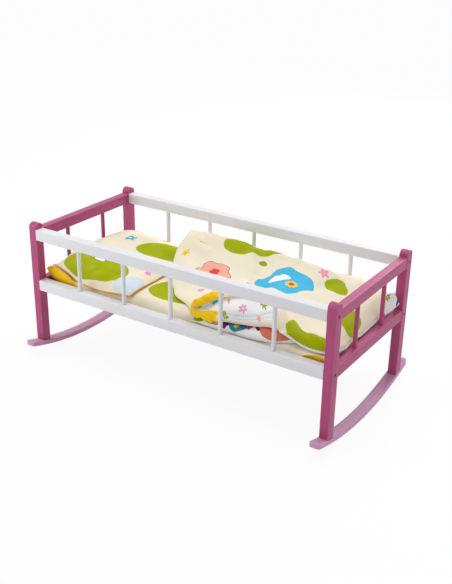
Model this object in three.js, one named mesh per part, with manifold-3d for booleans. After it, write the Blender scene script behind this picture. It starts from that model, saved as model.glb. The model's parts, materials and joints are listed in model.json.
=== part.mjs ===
// A wooden doll cradle on two bent rockers, with its mattress, pillow and quilt.
// Millimetres. X runs along the cradle, Y across it and Z up.
// The origin is on the floor, under the middle of the cradle.
import * as THREE from "three";
import { mergeVertices } from "three/addons/utils/BufferGeometryUtils.js";
import Module from "manifold-3d";

const wasm = await Module();
wasm.setup();

// Frame, over the outer faces of the corner posts
const cradleLength = 500;
const cradleWidth = 228.6;

// Corner posts
const postLengthwise = 13.2;
const postCrosswise = 15.2;
const postShoulderHeight = 204.2;
const postDomeRise = 4.2;

// Rails: the same height all round, with their tops level
const railHeight = 15.8;
const sideRailDepth = 14.6;
const endRailThickness = 12;
const endRailSetback = 0.7;
const topRailBelowShoulder = 4.7;
const topRailTop = postShoulderHeight - topRailBelowShoulder;
const lowerRailTop = 120.2;
const easedEdge = 0.7;

// Spindles
const spindleDiameter = 6;
const sideSpindleCount = 5;
const endSpindleCount = 2;
const sideSpindlePitchShare = 0.171;
const endSpindlePitchShare = 0.409;
const spindleSocketShare = 0.55;

// Rockers
const rockerRadius = 474;
const rockerThickness = 6.7;
const rockerWidth = 16.3;
const rockerSpan = 276;
const rockerCornerRadius = 5;
const rockerInwardShift = 1.1;

// Screws through the posts into the side rails
const railScrewHeadDiameter = 4.6;
const railScrewHeadHeight = 1.5;
const railScrewShankDiameter = 3;
const railScrewRecess = 2.4;
const railScrewGrip = 20;

// Screws through the rockers into the feet of the posts
const rockerScrewHeadDiameter = 5.6;
const rockerScrewHeadHeight = 1.6;
const rockerScrewShankDiameter = 3;
const rockerScrewRecess = 2.4;
const rockerScrewGrip = 18;
const screwTipLength = 4;

// Glued pins between the end rails and the posts
const pinDiameterShare = 0.4;
const pinInPostShare = 0.33;
const pinInRail = 14;

// Base panel, let into grooves in the four lower rails
const panelThickness = 3;
const panelHeightShare = 0.25;
const grooveDepthShare = 0.24;

// Bedding
const mattressThickness = 14.7;
const mattressDrawIn = 1.5;
const pillowLengthwise = 157;
const pillowHeight = 28;
const pillowHeadRise = 24;
const pillowSeamRise = 3;
const pillowCrownLeast = 2;
const pillowDrawIn = 4;
const pillowCornerDrawIn = 5;
const quiltBackHeight = 39.5;
const quiltThinnest = 6;
const quiltFoldDepth = 5.5;
const quiltFoldWidth = 13;
const quiltDrawIn = 3;
const quiltOnPillow = 28;
const quiltFoldedCorner = 139;
const quiltMouthLength = 120;
const quiltMouthDepth = 30;
const quiltMouthHeight = 40.5;
const quiltMouthLeftFade = 6;
const quiltMouthRightFade = 24;

// Clearances
const socketClearance = 0.15;
const socketEndClearance = 0.4;
const grooveClearance = 0.3;
const seatGap = 0.3;
const beddingGap = 1.4;
const layerGap = 0.4;
const pillowToQuiltGap = 2.2;
const cutOverrun = 2;

// Counts of facets
const roundSides = 20;
const screwSides = 12;
const domeSteps = 7;
const rockerSteps = 35;
const cornerSteps = 6;
const mattressColumns = 20;
const mattressRows = 12;
const pillowColumns = 20;
const pillowRows = 20;
const quiltColumns = 28;
const quiltRows = 22;

// Places that follow from the sizes above
const topRailBottom = topRailTop - railHeight;
const lowerRailBottom = lowerRailTop - railHeight;
const topRailMiddle = topRailTop - railHeight / 2;
const lowerRailMiddle = lowerRailTop - railHeight / 2;
const postX = (cradleLength - postLengthwise) / 2;
const postY = (cradleWidth - postCrosswise) / 2;
const sideRailY = (cradleWidth - sideRailDepth) / 2;
const endRailX = (cradleLength - endRailThickness) / 2 - endRailSetback;
const sideRailLength = cradleLength - 2 * postLengthwise;
const endRailLength = cradleWidth - 2 * postCrosswise;
const endRailInnerX = endRailX - endRailThickness / 2;
const sideRailInnerY = sideRailY - sideRailDepth / 2;
const spindleRadius = spindleDiameter / 2;
const socketDepth = spindleSocketShare * railHeight;
const spindleBottom = lowerRailTop - socketDepth + socketEndClearance;
const spindleTop = topRailBottom + socketDepth - socketEndClearance;
const sideSpindlePitch = sideSpindlePitchShare * sideRailLength;
const endSpindlePitch = endSpindlePitchShare * endRailLength;
const pinRadius = (pinDiameterShare * endRailThickness) / 2;
const pinInPost = pinInPostShare * postCrosswise;
const grooveDepth = grooveDepthShare * endRailThickness;
const panelBottom = lowerRailBottom + panelHeightShare * railHeight;
const panelTop = panelBottom + panelThickness;

// The middle facet of each rocker lies flat on the floor
const rockerHalfAngle = Math.asin((rockerSpan / 2 + cutOverrun) / rockerRadius);
const rockerCentreHeight = rockerRadius * Math.cos(rockerHalfAngle / rockerSteps);
const rockerX = postX - rockerInwardShift;

const axes = {
  x: new THREE.Vector3(1, 0, 0),
  y: new THREE.Vector3(0, 1, 0),
  z: new THREE.Vector3(0, 0, 1),
};

// An extrusion runs along its own Z; these turn it to run along X, Y or Z
const runAlong = {
  x: new THREE.Matrix4().makeBasis(axes.y, axes.z, axes.x),
  y: new THREE.Matrix4().makeBasis(axes.z, axes.x, axes.y),
  z: new THREE.Matrix4().makeBasis(axes.x, axes.y, axes.z),
};

function paint(colour, roughness) {
  return new THREE.MeshStandardMaterial({ color: colour, roughness, metalness: 0 });
}

const finishes = {
  pinkPaint: () => paint(0xb2608a, 0.45),
  rockerPaint: () => paint(0xb083a8, 0.45),
  whitePaint: () => paint(0xeeeef2, 0.4),
  beech: () => paint(0xd2b48c, 0.7),
  hardboard: () => paint(0x8c6239, 0.8),
  cotton: () => paint(0xf0e8d5, 0.9),
  steel: () => new THREE.MeshStandardMaterial({ color: 0x6d6d70, roughness: 0.35, metalness: 1 }),
};

// Turning a closed geometry into a solid and back, for cuts
function toSolid(geometry) {
  const bare = geometry.index ? geometry.toNonIndexed() : geometry.clone();
  bare.deleteAttribute("normal");
  bare.deleteAttribute("uv");
  const merged = mergeVertices(bare);
  return new wasm.Manifold(
    new wasm.Mesh({
      numProp: 3,
      vertProperties: new Float32Array(merged.attributes.position.array),
      triVerts: new Uint32Array(merged.index.array),
    }),
  );
}

function toGeometry(solid) {
  const mesh = solid.getMesh();
  const geometry = new THREE.BufferGeometry();
  geometry.setAttribute("position", new THREE.BufferAttribute(mesh.vertProperties, 3));
  geometry.setIndex(new THREE.BufferAttribute(mesh.triVerts, 1));
  geometry.computeVertexNormals();
  return geometry;
}

function cut(geometry, tools) {
  let solid = toSolid(geometry);
  for (const tool of tools) {
    solid = solid.subtract(toSolid(tool));
  }
  return toGeometry(solid);
}

function common(first, second) {
  return toGeometry(toSolid(first).intersect(toSolid(second)));
}

// A rectangle with its four corners planed off
function easedRectangle(width, height, ease) {
  const right = width / 2;
  const top = height / 2;
  const shape = new THREE.Shape();
  shape.moveTo(ease - right, -top);
  shape.lineTo(right - ease, -top);
  shape.lineTo(right, ease - top);
  shape.lineTo(right, top - ease);
  shape.lineTo(right - ease, top);
  shape.lineTo(ease - right, top);
  shape.lineTo(-right, top - ease);
  shape.lineTo(-right, ease - top);
  shape.closePath();
  return shape;
}

// A rectangle with round corners
function roundedRectangle(width, height, radius) {
  const right = width / 2 - radius;
  const top = height / 2 - radius;
  const shape = new THREE.Shape();
  shape.absarc(right, top, radius, 0, Math.PI / 2);
  shape.absarc(-right, top, radius, Math.PI / 2, Math.PI);
  shape.absarc(-right, -top, radius, Math.PI, 1.5 * Math.PI);
  shape.absarc(right, -top, radius, 1.5 * Math.PI, 2 * Math.PI);
  return shape;
}

// An outline run out along an axis, centred on it; with an ease, its two ends are chamfered
function runOut(shape, length, along, ease = 0, steps = 1) {
  const geometry = new THREE.ExtrudeGeometry(shape, {
    depth: length - 2 * ease,
    curveSegments: steps,
    bevelEnabled: ease > 0,
    bevelThickness: ease,
    bevelSize: ease,
    bevelOffset: -ease,
    bevelSegments: 1,
  });
  geometry.translate(0, 0, ease - length / 2);
  return geometry.applyMatrix4(runAlong[along]);
}

function box(lengthwise, crosswise, high) {
  return new THREE.BoxGeometry(lengthwise, crosswise, high);
}

// A round bar or a drilled hole, centred, along X, Y or Z
function round(radius, length, along, sides = roundSides) {
  const geometry = new THREE.CylinderGeometry(radius, radius, length, sides);
  if (along === "x") {
    geometry.rotateZ(-Math.PI / 2);
  }
  if (along === "z") {
    geometry.rotateX(Math.PI / 2);
  }
  return geometry;
}

// A wood screw: the underside of its head is at zero and its shank points down its own Y
function screw(headDiameter, headHeight, shankDiameter, length) {
  const head = headDiameter / 2;
  const shank = shankDiameter / 2;
  const profile = [
    new THREE.Vector2(0, -length),
    new THREE.Vector2(shank, screwTipLength - length),
    new THREE.Vector2(shank, 0),
    new THREE.Vector2(head, 0),
    new THREE.Vector2(head, headHeight / 2),
    new THREE.Vector2(head / 2, headHeight),
    new THREE.Vector2(0, headHeight),
  ];
  return new THREE.LatheGeometry(profile, screwSides);
}

function piece(name, geometry, material, x, y, z) {
  const mesh = new THREE.Mesh(geometry, material);
  mesh.name = name;
  mesh.position.set(x, y, z);
  return mesh;
}

const cradle = new THREE.Group();
cradle.name = "doll_cradle";
const frame = new THREE.Group();
const bedding = new THREE.Group();
cradle.add(frame, bedding);

const ends = [
  { name: "left", sign: -1 },
  { name: "right", sign: 1 },
];
const sides = [
  { name: "front", sign: -1 },
  { name: "rear", sign: 1 },
];
const levels = [
  { name: "top", middle: topRailMiddle },
  { name: "lower", middle: lowerRailMiddle },
];

// Height of the rocker's upper face, or of a face set in from it, at a place across the cradle
function rockerFaceHeight(y, setIn) {
  const radius = rockerRadius - rockerThickness - setIn;
  return rockerCentreHeight - Math.sqrt(radius * radius - y * y);
}

function rockerUndersideHeight(y) {
  return rockerCentreHeight - Math.sqrt(rockerRadius * rockerRadius - y * y);
}

// A post: straight sides, a domed head and a foot sloped to sit on the rocker
function postOutline(sideSign) {
  const half = postCrosswise / 2;
  const domeRadius = (half * half + postDomeRise * postDomeRise) / (2 * postDomeRise);
  const domeCentre = postShoulderHeight + postDomeRise - domeRadius;
  const domeAngle = Math.acos(half / domeRadius);
  const shape = new THREE.Shape();
  const middle = sideSign * postY;
  shape.moveTo(-half, rockerFaceHeight(middle - half, seatGap));
  shape.lineTo(half, rockerFaceHeight(middle + half, seatGap));
  shape.lineTo(half, postShoulderHeight);
  shape.absarc(0, domeCentre, domeRadius, domeAngle, Math.PI - domeAngle);
  shape.closePath();
  return shape;
}

function post(endSign, sideSign) {
  const body = runOut(postOutline(sideSign), postLengthwise, "x", easedEdge, domeSteps);
  const screwY = sideSign * (sideRailY - postY);
  const pinX = endSign * (endRailX - postX);
  const tools = [];
  for (const level of levels) {
    const screwHole = round(
      railScrewShankDiameter / 2 + socketClearance,
      postLengthwise + 2 * cutOverrun,
      "x",
      screwSides,
    );
    screwHole.translate(0, screwY, level.middle);
    const recessLength = railScrewRecess + cutOverrun;
    const recess = round(
      railScrewHeadDiameter / 2 + socketClearance,
      recessLength,
      "x",
      screwSides,
    );
    const recessX = endSign * (postLengthwise / 2 - railScrewRecess + recessLength / 2);
    recess.translate(recessX, screwY, level.middle);
    const pinHoleLength = pinInPost + socketEndClearance + cutOverrun;
    const pinHole = round(pinRadius + socketClearance, pinHoleLength, "y");
    const pinHoleY = -sideSign * (postCrosswise / 2 + cutOverrun - pinHoleLength / 2);
    pinHole.translate(pinX, pinHoleY, level.middle);
    tools.push(screwHole, recess, pinHole);
  }
  const footHeight = rockerFaceHeight(postY, seatGap);
  const footHoleLength = rockerScrewGrip + socketEndClearance + cutOverrun;
  const footHole = round(
    rockerScrewShankDiameter / 2 + socketClearance,
    footHoleLength,
    "z",
    screwSides,
  );
  footHole.translate(0, 0, footHeight + footHoleLength / 2 - cutOverrun);
  tools.push(footHole);
  return cut(body, tools);
}

// Sockets for a row of spindles in one face of a rail that runs along X or Y
function sockets(count, pitch, along, faceSign) {
  const length = socketDepth + cutOverrun;
  const places = [];
  for (let i = 0; i < count; i += 1) {
    const offset = (i - (count - 1) / 2) * pitch;
    const socket = round(spindleRadius + socketClearance, length, "z");
    const height = faceSign * (railHeight / 2 + cutOverrun - length / 2);
    socket.translate(along === "x" ? offset : 0, along === "y" ? offset : 0, height);
    places.push(socket);
  }
  return places;
}

// The groove for the base panel, in the inner face of a lower rail
function panelGroove(length, innerFace, along) {
  const high = panelThickness + 2 * grooveClearance;
  const deep = grooveDepth + cutOverrun;
  const middle = innerFace + Math.sign(innerFace) * (cutOverrun - deep / 2);
  const height = panelBottom + panelThickness / 2 - lowerRailMiddle;
  const long = length + 2 * cutOverrun;
  const groove = along === "x" ? box(long, deep, high) : box(deep, long, high);
  groove.translate(along === "x" ? 0 : middle, along === "x" ? middle : 0, height);
  return groove;
}

function sideRail(level, sideSign) {
  const isTop = level.name === "top";
  const shape = easedRectangle(sideRailDepth, railHeight, easedEdge);
  const body = runOut(shape, sideRailLength, "x");
  const tools = sockets(sideSpindleCount, sideSpindlePitch, "x", isTop ? -1 : 1);
  const pilotLength = railScrewGrip + socketEndClearance + cutOverrun;
  for (const end of ends) {
    const pilot = round(
      railScrewShankDiameter / 2 + socketClearance,
      pilotLength,
      "x",
      screwSides,
    );
    pilot.translate(end.sign * (sideRailLength / 2 + cutOverrun - pilotLength / 2), 0, 0);
    tools.push(pilot);
  }
  if (!isTop) {
    tools.push(panelGroove(sideRailLength, (-sideSign * sideRailDepth) / 2, "x"));
  }
  return cut(body, tools);
}

function endRail(level, endSign) {
  const isTop = level.name === "top";
  const shape = easedRectangle(railHeight, endRailThickness, easedEdge);
  const body = runOut(shape, endRailLength, "y");
  const tools = sockets(endSpindleCount, endSpindlePitch, "y", isTop ? -1 : 1);
  const pinHoleLength = pinInRail + socketEndClearance + cutOverrun;
  for (const side of sides) {
    const pinHole = round(pinRadius + socketClearance, pinHoleLength, "y");
    pinHole.translate(0, side.sign * (endRailLength / 2 + cutOverrun - pinHoleLength / 2), 0);
    tools.push(pinHole);
  }
  if (!isTop) {
    tools.push(panelGroove(endRailLength, (-endSign * endRailThickness) / 2, "y"));
  }
  return cut(body, tools);
}

// A rocker: a lath bent to an arc, its corners rounded in plan, bored for its two screws
function rocker() {
  const upperRadius = rockerRadius - rockerThickness;
  const low = -Math.PI / 2;
  const arc = (radius) =>
    new THREE.EllipseCurve(
      0,
      rockerCentreHeight,
      radius,
      radius,
      low - rockerHalfAngle,
      low + rockerHalfAngle,
    ).getPoints(rockerSteps);
  const outline = new THREE.Shape([...arc(rockerRadius), ...arc(upperRadius).reverse()]);
  const lath = runOut(outline, rockerWidth, "x", easedEdge);
  const tall = 2 * rockerCentreHeight;
  const planShape = roundedRectangle(rockerWidth, rockerSpan, rockerCornerRadius);
  const plan = runOut(planShape, tall, "z", 0, cornerSteps);
  const tools = [];
  for (const side of sides) {
    const under = rockerUndersideHeight(postY);
    const hole = round(
      rockerScrewShankDiameter / 2 + socketClearance,
      2 * (rockerThickness + cutOverrun),
      "z",
      screwSides,
    );
    hole.translate(0, side.sign * postY, under + rockerThickness / 2);
    const recessLength = rockerScrewRecess + cutOverrun;
    const recess = round(
      rockerScrewHeadDiameter / 2 + socketClearance,
      recessLength,
      "z",
      screwSides,
    );
    recess.translate(0, side.sign * postY, under + rockerScrewRecess - recessLength / 2);
    tools.push(hole, recess);
  }
  return { geometry: common(lath, plan), tools };
}

function rockerFor(endSign) {
  const made = rocker();
  const screwX = endSign * rockerInwardShift;
  for (const tool of made.tools) tool.translate(screwX, 0, 0);
  return cut(made.geometry, made.tools);
}

// Posts, with the screws that hold the side rails and the rockers
const railScrewLength = postLengthwise - railScrewRecess + railScrewGrip;
const rockerUnder = rockerUndersideHeight(postY);
const rockerScrewSeat = rockerUnder + rockerScrewRecess;
const rockerScrewLength = rockerFaceHeight(postY, seatGap) - rockerScrewSeat + rockerScrewGrip;
for (const end of ends) {
  for (const side of sides) {
    const corner = end.name + "_" + side.name;
    const x = end.sign * postX;
    const y = side.sign * postY;
    const body = post(end.sign, side.sign);
    frame.add(piece(corner + "_post", body, finishes.pinkPaint(), x, y, 0));

    for (const level of levels) {
      const screwBody = screw(
        railScrewHeadDiameter,
        railScrewHeadHeight,
        railScrewShankDiameter,
        railScrewLength,
      );
      screwBody.rotateZ((-end.sign * Math.PI) / 2);
      const screwX = end.sign * (cradleLength / 2 - railScrewRecess);
      const name = corner + "_" + level.name + "_rail_screw";
      const screwY = side.sign * sideRailY;
      frame.add(piece(name, screwBody, finishes.steel(), screwX, screwY, level.middle));

      const pinLength = pinInPost + pinInRail;
      const pin = round(pinRadius, pinLength, "y");
      const pinY = side.sign * (endRailLength / 2 - pinInRail + pinLength / 2);
      const pinName = corner + "_" + level.name + "_pin";
      const pinX = end.sign * endRailX;
      frame.add(piece(pinName, pin, finishes.beech(), pinX, pinY, level.middle));
    }

    const rockerScrew = screw(
      rockerScrewHeadDiameter,
      rockerScrewHeadHeight,
      rockerScrewShankDiameter,
      rockerScrewLength,
    );
    rockerScrew.rotateX(-Math.PI / 2);
    const rockerScrewName = corner + "_rocker_screw";
    frame.add(piece(rockerScrewName, rockerScrew, finishes.steel(), x, y, rockerScrewSeat));
  }
}

// Side rails and their spindles
for (const side of sides) {
  for (const level of levels) {
    const name = side.name + "_" + level.name + "_rail";
    const body = sideRail(level, side.sign);
    frame.add(piece(name, body, finishes.whitePaint(), 0, side.sign * sideRailY, level.middle));
  }
  for (let i = 0; i < sideSpindleCount; i += 1) {
    const x = (i - (sideSpindleCount - 1) / 2) * sideSpindlePitch;
    const body = round(spindleRadius, spindleTop - spindleBottom, "z");
    const name = side.name + "_spindle_" + (i + 1);
    const middle = (spindleTop + spindleBottom) / 2;
    frame.add(piece(name, body, finishes.whitePaint(), x, side.sign * sideRailY, middle));
  }
}

// End rails, their spindles and the rockers
for (const end of ends) {
  for (const level of levels) {
    const name = end.name + "_end_" + level.name + "_rail";
    const body = endRail(level, end.sign);
    frame.add(piece(name, body, finishes.pinkPaint(), end.sign * endRailX, 0, level.middle));
  }
  for (let i = 0; i < endSpindleCount; i += 1) {
    const y = (i - (endSpindleCount - 1) / 2) * endSpindlePitch;
    const body = round(spindleRadius, spindleTop - spindleBottom, "z");
    const name = end.name + "_end_spindle_" + (i + 1);
    const middle = (spindleTop + spindleBottom) / 2;
    frame.add(piece(name, body, finishes.pinkPaint(), end.sign * endRailX, y, middle));
  }
  const name = end.name + "_rocker";
  const body = rockerFor(end.sign);
  frame.add(piece(name, body, finishes.rockerPaint(), end.sign * rockerX, 0, 0));
}

// Base panel, notched at its corners to pass the posts
function basePanel() {
  const long = endRailInnerX + grooveDepth - grooveClearance;
  const wide = sideRailInnerY + grooveDepth - grooveClearance;
  const notchX = Math.min(cradleLength / 2 - postLengthwise, endRailInnerX) - grooveClearance;
  const notchY = Math.min(cradleWidth / 2 - postCrosswise, sideRailInnerY) - grooveClearance;
  const shape = new THREE.Shape();
  shape.moveTo(-notchX, -wide);
  shape.lineTo(notchX, -wide);
  shape.lineTo(notchX, -notchY);
  shape.lineTo(long, -notchY);
  shape.lineTo(long, notchY);
  shape.lineTo(notchX, notchY);
  shape.lineTo(notchX, wide);
  shape.lineTo(-notchX, wide);
  shape.lineTo(-notchX, notchY);
  shape.lineTo(-long, notchY);
  shape.lineTo(-long, -notchY);
  shape.lineTo(-notchX, -notchY);
  shape.closePath();
  return runOut(shape, panelThickness, "z");
}

frame.add(
  piece("base_panel", basePanel(), finishes.hardboard(), 0, 0, panelBottom + panelThickness / 2),
);

// A stuffed form: its top and its underside meet in one seam round the edge.
// The grid is closer near the seam, where the form turns over.
// Points of the top can be moved by a shape that knows their row.
const rimCrowdingShare = 0.6;

function stuffed(columns, rows, place, topAt, underAt, shape = (row, ...point) => point) {
  const positions = [];
  const faces = [];
  const spread = (i, count) => {
    const even = (2 * i) / count - 1;
    return THREE.MathUtils.lerp(even, Math.sin(even * (Math.PI / 2)), rimCrowdingShare);
  };
  const onRim = (i, j) => i === 0 || j === 0 || i === columns || j === rows;
  const topIndex = [];
  const underIndex = [];
  const vertex = (x, y, z) => {
    positions.push(x, y, z);
    return positions.length / 3 - 1;
  };
  for (let i = 0; i <= columns; i += 1) {
    topIndex.push([]);
    underIndex.push([]);
    for (let j = 0; j <= rows; j += 1) {
      const u = spread(i, columns);
      const v = spread(j, rows);
      const [x, y] = place(u, v);
      const top = vertex(...shape(j, x, y, topAt(u, v, x, y)));
      topIndex[i].push(top);
      underIndex[i].push(onRim(i, j) ? top : vertex(x, y, underAt(u, v, x, y)));
    }
  }
  for (let i = 0; i < columns; i += 1) {
    for (let j = 0; j < rows; j += 1) {
      const corners = [
        [i, j],
        [i + 1, j],
        [i + 1, j + 1],
        [i, j + 1],
      ];
      const [a, b, c, d] = corners.map(([m, n]) => topIndex[m][n]);
      const [e, f, g, h] = corners.map(([m, n]) => underIndex[m][n]);
      faces.push(a, b, c, a, c, d);
      faces.push(e, g, f, e, h, g);
    }
  }
  const geometry = new THREE.BufferGeometry();
  geometry.setAttribute("position", new THREE.Float32BufferAttribute(positions, 3));
  geometry.setIndex(faces);
  geometry.computeVertexNormals();
  return geometry;
}

// How full a stuffed form is at a place: nothing at the seam and one in the middle
function fullness(u, v, squareness) {
  const acrossU = 1 - Math.abs(u) ** squareness;
  const acrossV = 1 - Math.abs(v) ** squareness;
  return Math.sqrt(Math.max(0, acrossU * acrossV));
}

// A smooth step from nothing at one value to one at another
function ramp(value, from, to) {
  return THREE.MathUtils.smoothstep(value, from, to);
}

// A smooth curve through evenly spaced values, read at a place from nothing to one
function through(values, place) {
  const points = values.map((value, i) => new THREE.Vector2(i, value));
  return new THREE.SplineCurve(points).getPoint(THREE.MathUtils.clamp(place, 0, 1)).y;
}

const bedHalfLength = Math.min(endRailInnerX, cradleLength / 2 - postLengthwise) - beddingGap;
const bedHalfWidth = Math.min(sideRailInnerY, cradleWidth / 2 - postCrosswise) - beddingGap;
const mattressBottom = panelTop + layerGap;
const mattressTop = mattressBottom + mattressThickness;
const beddingBase = mattressTop + layerGap;

// Mattress: a thin flat pad whose sides pull in between its corners
const mattressSquareness = 14;
const mattressSeamShare = 0.5;
const mattressSeam = mattressBottom + mattressSeamShare * mattressThickness;

function mattress() {
  const place = (u, v) => [
    u * (bedHalfLength - mattressDrawIn * (1 - v * v)),
    v * (bedHalfWidth - mattressDrawIn * (1 - u * u)),
  ];
  const topAt = (u, v) =>
    mattressSeam + (mattressTop - mattressSeam) * fullness(u, v, mattressSquareness);
  const underAt = (u, v) =>
    mattressSeam - (mattressSeam - mattressBottom) * fullness(u, v, mattressSquareness);
  return stuffed(mattressColumns, mattressRows, place, topAt, underAt);
}

bedding.add(piece("mattress", mattress(), finishes.cotton(), 0, 0, 0));

// Pillow: it fills the left end, where its edge is pushed up against the end rail
const pillowSquareness = 3.6;
const pillowUnderSquareness = 10;
const pillowRiseStartShare = 0.2;
const pillowHeadShares = [0.5, 0.68, 1, 0.8, 0.46];
const pillowCrownShares = [0.98, 0.9, 0.72, 0.52, 0.36];
const pillowCrownFallShare = 0.18;
const pillowFallStartShare = 0.35;
const pillowCornerStartShare = 0.5;
const pillowMiddleX = pillowLengthwise / 2 - bedHalfLength;

function pillowSeam(u, v) {
  const head = pillowHeadRise * through(pillowHeadShares, (v + 1) / 2);
  const rise = ramp(-u, pillowRiseStartShare, 1);
  return beddingBase + THREE.MathUtils.lerp(pillowSeamRise, head, rise);
}

function pillowTopAt(u, v) {
  const seam = pillowSeam(u, v);
  const fall = pillowCrownFallShare * ramp(Math.abs(v), pillowFallStartShare, 1) * ramp(-u, 0, 1);
  const share = through(pillowCrownShares, (u + 1) / 2) - fall;
  const crown = Math.max(beddingBase + pillowHeight * share, seam + pillowCrownLeast);
  return seam + (crown - seam) * fullness(u, v, pillowSquareness);
}

function pillow() {
  const place = (u, v) => {
    const corner = ramp(-u, pillowCornerStartShare, 1) * ramp(-v, pillowCornerStartShare, 1);
    const half = pillowLengthwise / 2 - pillowDrawIn * (1 - v * v);
    return [
      pillowMiddleX + u * half + pillowCornerDrawIn * corner,
      v * (bedHalfWidth - pillowDrawIn * (1 - u * u)),
    ];
  };
  const underAt = (u, v) => {
    const seam = pillowSeam(u, v);
    return seam - (seam - beddingBase) * fullness(u, v, pillowUnderSquareness);
  };
  return stuffed(pillowColumns, pillowRows, place, pillowTopAt, underAt);
}

bedding.add(piece("pillow", pillow(), finishes.cotton(), 0, 0, 0));

// The pillow's upper face at a place in the cradle, for the quilt that lies over its edge
function pillowHeightAt(x, y) {
  const u = (x - pillowMiddleX) / (pillowLengthwise / 2);
  const v = y / bedHalfWidth;
  const beside = Math.abs(u) >= 1 || Math.abs(v) >= 1;
  return beside ? beddingBase : pillowTopAt(u, v);
}

// Quilt: it is bunched high along the rear rail and lies on the pillow at its rear left corner.
// Its front left corner is turned back, so that edge runs aslant.
const quiltLeftBackX = pillowLengthwise - bedHalfLength - quiltOnPillow;
const quiltEdgeShares = [0, 0.26, 0.45, 0.58, 0.69, 0.86, 0.97, 1, 1];

function quiltLeftEdge(v) {
  return quiltLeftBackX + (1 - through(quiltEdgeShares, (v + 1) / 2)) * quiltFoldedCorner;
}

// Heights of the quilt from its left end to its right one, for its front, middle and back
const quiltFrontRowShare = -0.76;
const quiltHeightShares = [
  [0.1, 0.1, 0.66, 0.84, 0.6, 0.41],
  [0.36, 0.56, 0.62, 0.73, 0.64, 0.49],
  [0.99, 1.02, 0.97, 0.84, 0.76, 0.51],
];

// Folds in its top, each from one place to another, with the share of the depth that it takes
const quiltFoldShares = [
  { from: [-0.42, 0.92], to: [0, 0.47], depth: -1 },
  { from: [0, 0.47], to: [0.14, 0.08], depth: -0.7 },
  { from: [0.06, 1], to: [0.21, 0.55], depth: -1.2 },
  { from: [0.21, 0.55], to: [0.37, -0.06], depth: -1.2 },
  { from: [-0.39, 0.61], to: [0.08, 0.14], depth: 0.5 },
  { from: [0.75, 0.78], to: [0.64, 0.2], depth: -0.5 },
  { from: [0.87, 0.92], to: [0.97, 0], depth: -0.5 },
];

function quiltFolds(x, y) {
  const here = new THREE.Vector3(x, y, 0);
  const nearest = new THREE.Vector3();
  let height = 0;
  for (const { from, to, depth } of quiltFoldShares) {
    const [start, end] = [from, to].map(
      ([long, wide]) => new THREE.Vector3(long * bedHalfLength, wide * bedHalfWidth, 0),
    );
    new THREE.Line3(start, end).closestPointToPoint(here, true, nearest);
    const away = nearest.distanceTo(here) / quiltFoldWidth;
    height += depth * quiltFoldDepth * Math.exp(-away * away);
  }
  return height;
}

function quiltCrest(x, y) {
  const lengthwise = (x - quiltLeftBackX) / (bedHalfLength - quiltLeftBackX);
  const front = quiltFrontRowShare * bedHalfWidth;
  const crosswise = (y - front) / (bedHalfWidth - front);
  const shares = quiltHeightShares.map((row) => through(row, lengthwise));
  return beddingBase + quiltBackHeight * through(shares, crosswise) + quiltFolds(x, y);
}

// The turned-back corner gapes like a mouth at the front. Each row here runs from the lower lip
// over the hollow to the upper lip: how far back and how high, from the mouth's left to its right.
const quiltMouthShares = [
  { back: [0, 0.02, 0.13, 0.2, 0.24], up: [0.16, 0.17, 0.26, 0.39, 0.46] },
  { back: [0.02, 0.15, 0.23, 0.35, 0.64], up: [0.31, 0.37, 0.4, 0.57, 0.73] },
  { back: [0.21, 0.37, 0.35, 0.47, 0.75], up: [0.32, 0.5, 0.62, 0.73, 0.79] },
  { back: [0.27, 0.82, 0.89, 0.86, 0.84], up: [0.37, 0.72, 0.86, 0.87, 0.81] },
  { back: [0.07, 0.57, 0.79, 0.87, 0.91], up: [0.4, 0.77, 0.9, 0.91, 0.82] },
  { back: [0.05, 0.56, 0.81, 0.92, 0.98], up: [0.53, 0.9, 0.97, 0.93, 0.83] },
  { back: [0.26, 0.76, 1, 1.1, 1.14], up: [0.66, 0.99, 1, 0.94, 0.83] },
];
const quiltMouthLeft = quiltLeftEdge(-1);

function quiltMouth(row, x, y, z) {
  const line = quiltMouthShares[row - 1];
  if (!line) {
    return [x, y, z];
  }
  const right = quiltMouthLeft + quiltMouthLength + quiltMouthRightFade;
  const opened = ramp(x - quiltMouthLeft, 0, quiltMouthLeftFade);
  const closed = ramp(right - x, 0, quiltMouthRightFade);
  const place = (x - quiltMouthLeft) / quiltMouthLength;
  const lineY = quiltMouthDepth * through(line.back, place) - bedHalfWidth;
  const lineZ = beddingBase + quiltMouthHeight * through(line.up, place);
  const gape = opened * closed;
  return [x, THREE.MathUtils.lerp(y, lineY, gape), THREE.MathUtils.lerp(z, lineZ, gape)];
}

const quiltSquareness = 7;
const quiltSeamShare = 0.45;
const quiltFrontSeamShare = 0.12;
const quiltFrontSeamEndShare = -0.4;

function quiltFloor(x, y) {
  const overPillow = pillowHeightAt(x, y) + pillowToQuiltGap;
  const onPillow = pillowHeightAt(x, y) > beddingBase;
  return onPillow ? Math.max(beddingBase, overPillow) : beddingBase;
}

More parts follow.
